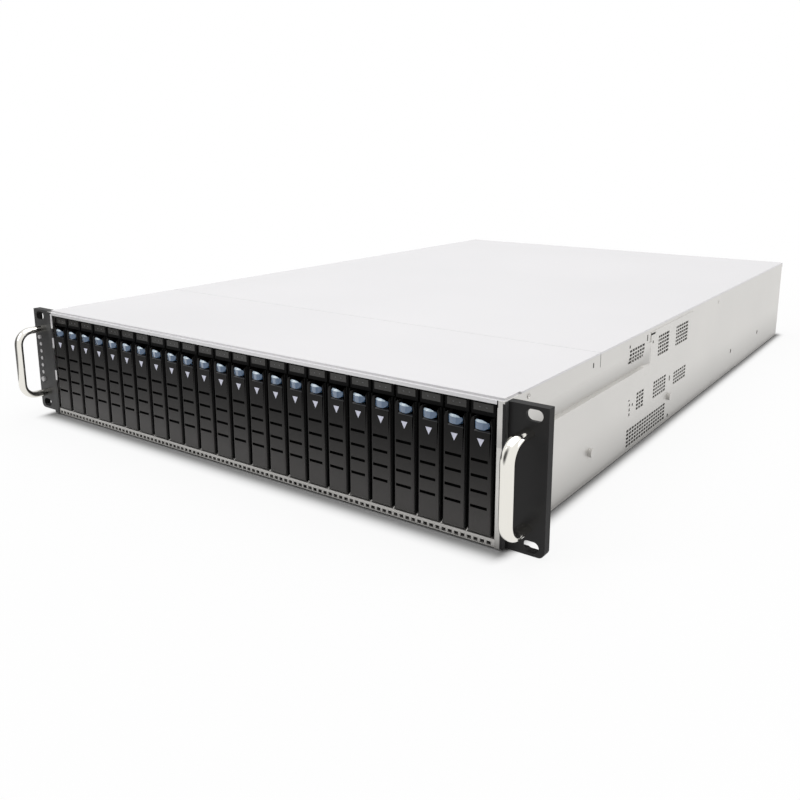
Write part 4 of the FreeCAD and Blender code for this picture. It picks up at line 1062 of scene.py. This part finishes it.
white_floor, tree = empty_material("white_floor")
axes = object_axes(tree)
gap = tree.nodes.new("ShaderNodeCombineXYZ")
tree.links.new(outside(tree, axes["X"], WALL_X), gap.inputs["X"])
tree.links.new(outside(tree, axes["Y"], REAR_FACE - REAR_INSET), gap.inputs["Y"])
distance = vector_maths(tree, "LENGTH", vector_maths(tree, "MULTIPLY", gap.outputs["Vector"], (1.0, FRONT_BELT, 0.0)))
share = maths(tree, "ADD", over_belt(tree, distance, NEAR_BELT, NEAR_WHITE),
              over_belt(tree, distance, FAR_BELT, FAR_WHITE))
paper = tree.nodes.new("ShaderNodeBsdfDiffuse")
glow = tree.nodes.new("ShaderNodeEmission")
mix = tree.nodes.new("ShaderNodeMixShader")
output = tree.nodes.new("ShaderNodeOutputMaterial")
# The floor's colour is darkened near the body: a painted contact shadow.
tree.links.new(over_belt(tree, distance, CONTACT_SHADOW_BELT, PAINTED_CONTACT_SHADOW), paper.inputs["Color"])
tree.links.new(maths(tree, "MULTIPLY", seen_or_mirrored(tree), share), mix.inputs["Fac"])
tree.links.new(paper.outputs["BSDF"], mix.inputs[1])
tree.links.new(glow.outputs["Emission"], mix.inputs[2])
tree.links.new(mix.outputs["Shader"], output.inputs["Surface"])

bm = bmesh.new()
bmesh.ops.create_grid(bm, x_segments=1, y_segments=1, size=FLOOR_SIZE)
bmesh.ops.translate(bm, vec=(0, 0, FLOOR_Z), verts=bm.verts)
floor_mesh = bpy.data.meshes.new("floor")
bm.to_mesh(floor_mesh)
bm.free()
floor_mesh.materials.append(white_floor)
floor = add_object("floor", floor_mesh)
print("floor at Z", round(FLOOR_Z / MM, 2), "mm")

# %% World and lamps
WORLD_LIGHT, WORLD_SEEN = 0.45, 1.0

world = bpy.data.worlds.new("studio")
bpy.context.scene.world = world
world.use_nodes = True
tree = world.node_tree
background = tree.nodes["Background"]
background.inputs["Color"].default_value = WHITE
strength = tree.nodes.new("ShaderNodeMapRange")
strength.inputs["To Min"].default_value = WORLD_LIGHT
strength.inputs["To Max"].default_value = WORLD_SEEN
tree.links.new(seen_or_mirrored(tree), strength.inputs["Value"])
tree.links.new(strength.outputs["Result"], background.inputs["Strength"])


def turn_to(thing, place, aim):
    """Set a lamp or a card down at a place and turn it to a point."""
    thing.location = place
    thing.rotation_euler = (Vector(aim) - Vector(place)).to_track_quat("-Z", "Y").to_euler()


def softbox(name, place, aim, size, watts):
    """A square area lamp at a place, turned to a point."""
    lamp = bpy.data.lights.new(name, "AREA")
    lamp.shape = "SQUARE"
    lamp.size = size
    lamp.energy = watts
    turn_to(add_object(name, lamp), place, aim)


softbox("overhead", (-0.3, 0.1, 1.9), (0, 0, 0.05), 2.0, 26)
softbox("front_left", (-1.2, -1.6, 1.2), (0, -0.2, 0.04), 1.2, 10)
softbox("rear_right", (1.8, 1.0, 1.1), (0.2, 0.1, 0.04), 1.2, 10)
bpy.context.scene.view_settings.view_transform = "Standard"

# %% Dark cards
CARD_CORE, CARD_POINTS = 0.2, 32


def card(name, place, aim, width, height, level):
    """A dark oval that only reflections show. Its edge fades to the white of the room."""
    material, tree = empty_material(name)
    spot = tree.nodes.new("ShaderNodeTexCoord").outputs["Object"]
    reach = vector_maths(tree, "LENGTH", vector_maths(tree, "MULTIPLY", spot, (2 / width, 2 / height, 0)))
    dim = tree.nodes.new("ShaderNodeEmission")
    tree.links.new(between(tree, reach, CARD_CORE, 1.0, level, 1.0), dim.inputs["Strength"])
    tree.links.new(dim.outputs["Emission"], tree.nodes.new("ShaderNodeOutputMaterial").inputs["Surface"])
    bm = bmesh.new()
    bmesh.ops.create_circle(bm, cap_ends=True, segments=CARD_POINTS, radius=0.5)
    bmesh.ops.scale(bm, vec=(width, height, 1), verts=bm.verts)
    mesh = bpy.data.meshes.new(name)
    bm.to_mesh(mesh)
    bm.free()
    mesh.materials.append(material)
    flag = add_object(name, mesh)
    turn_to(flag, place, aim)
    flag.visible_camera = flag.visible_diffuse = flag.visible_shadow = flag.visible_transmission = False


card("card_front", (0.125, -0.50, 0.13), (0.229, -0.36, 0.065), 0.19, 0.36, 0.05)
card("card_left", (-0.345, -0.42, 0.05), (-0.229, -0.42, 0.05), 0.42, 0.26, 0.12)
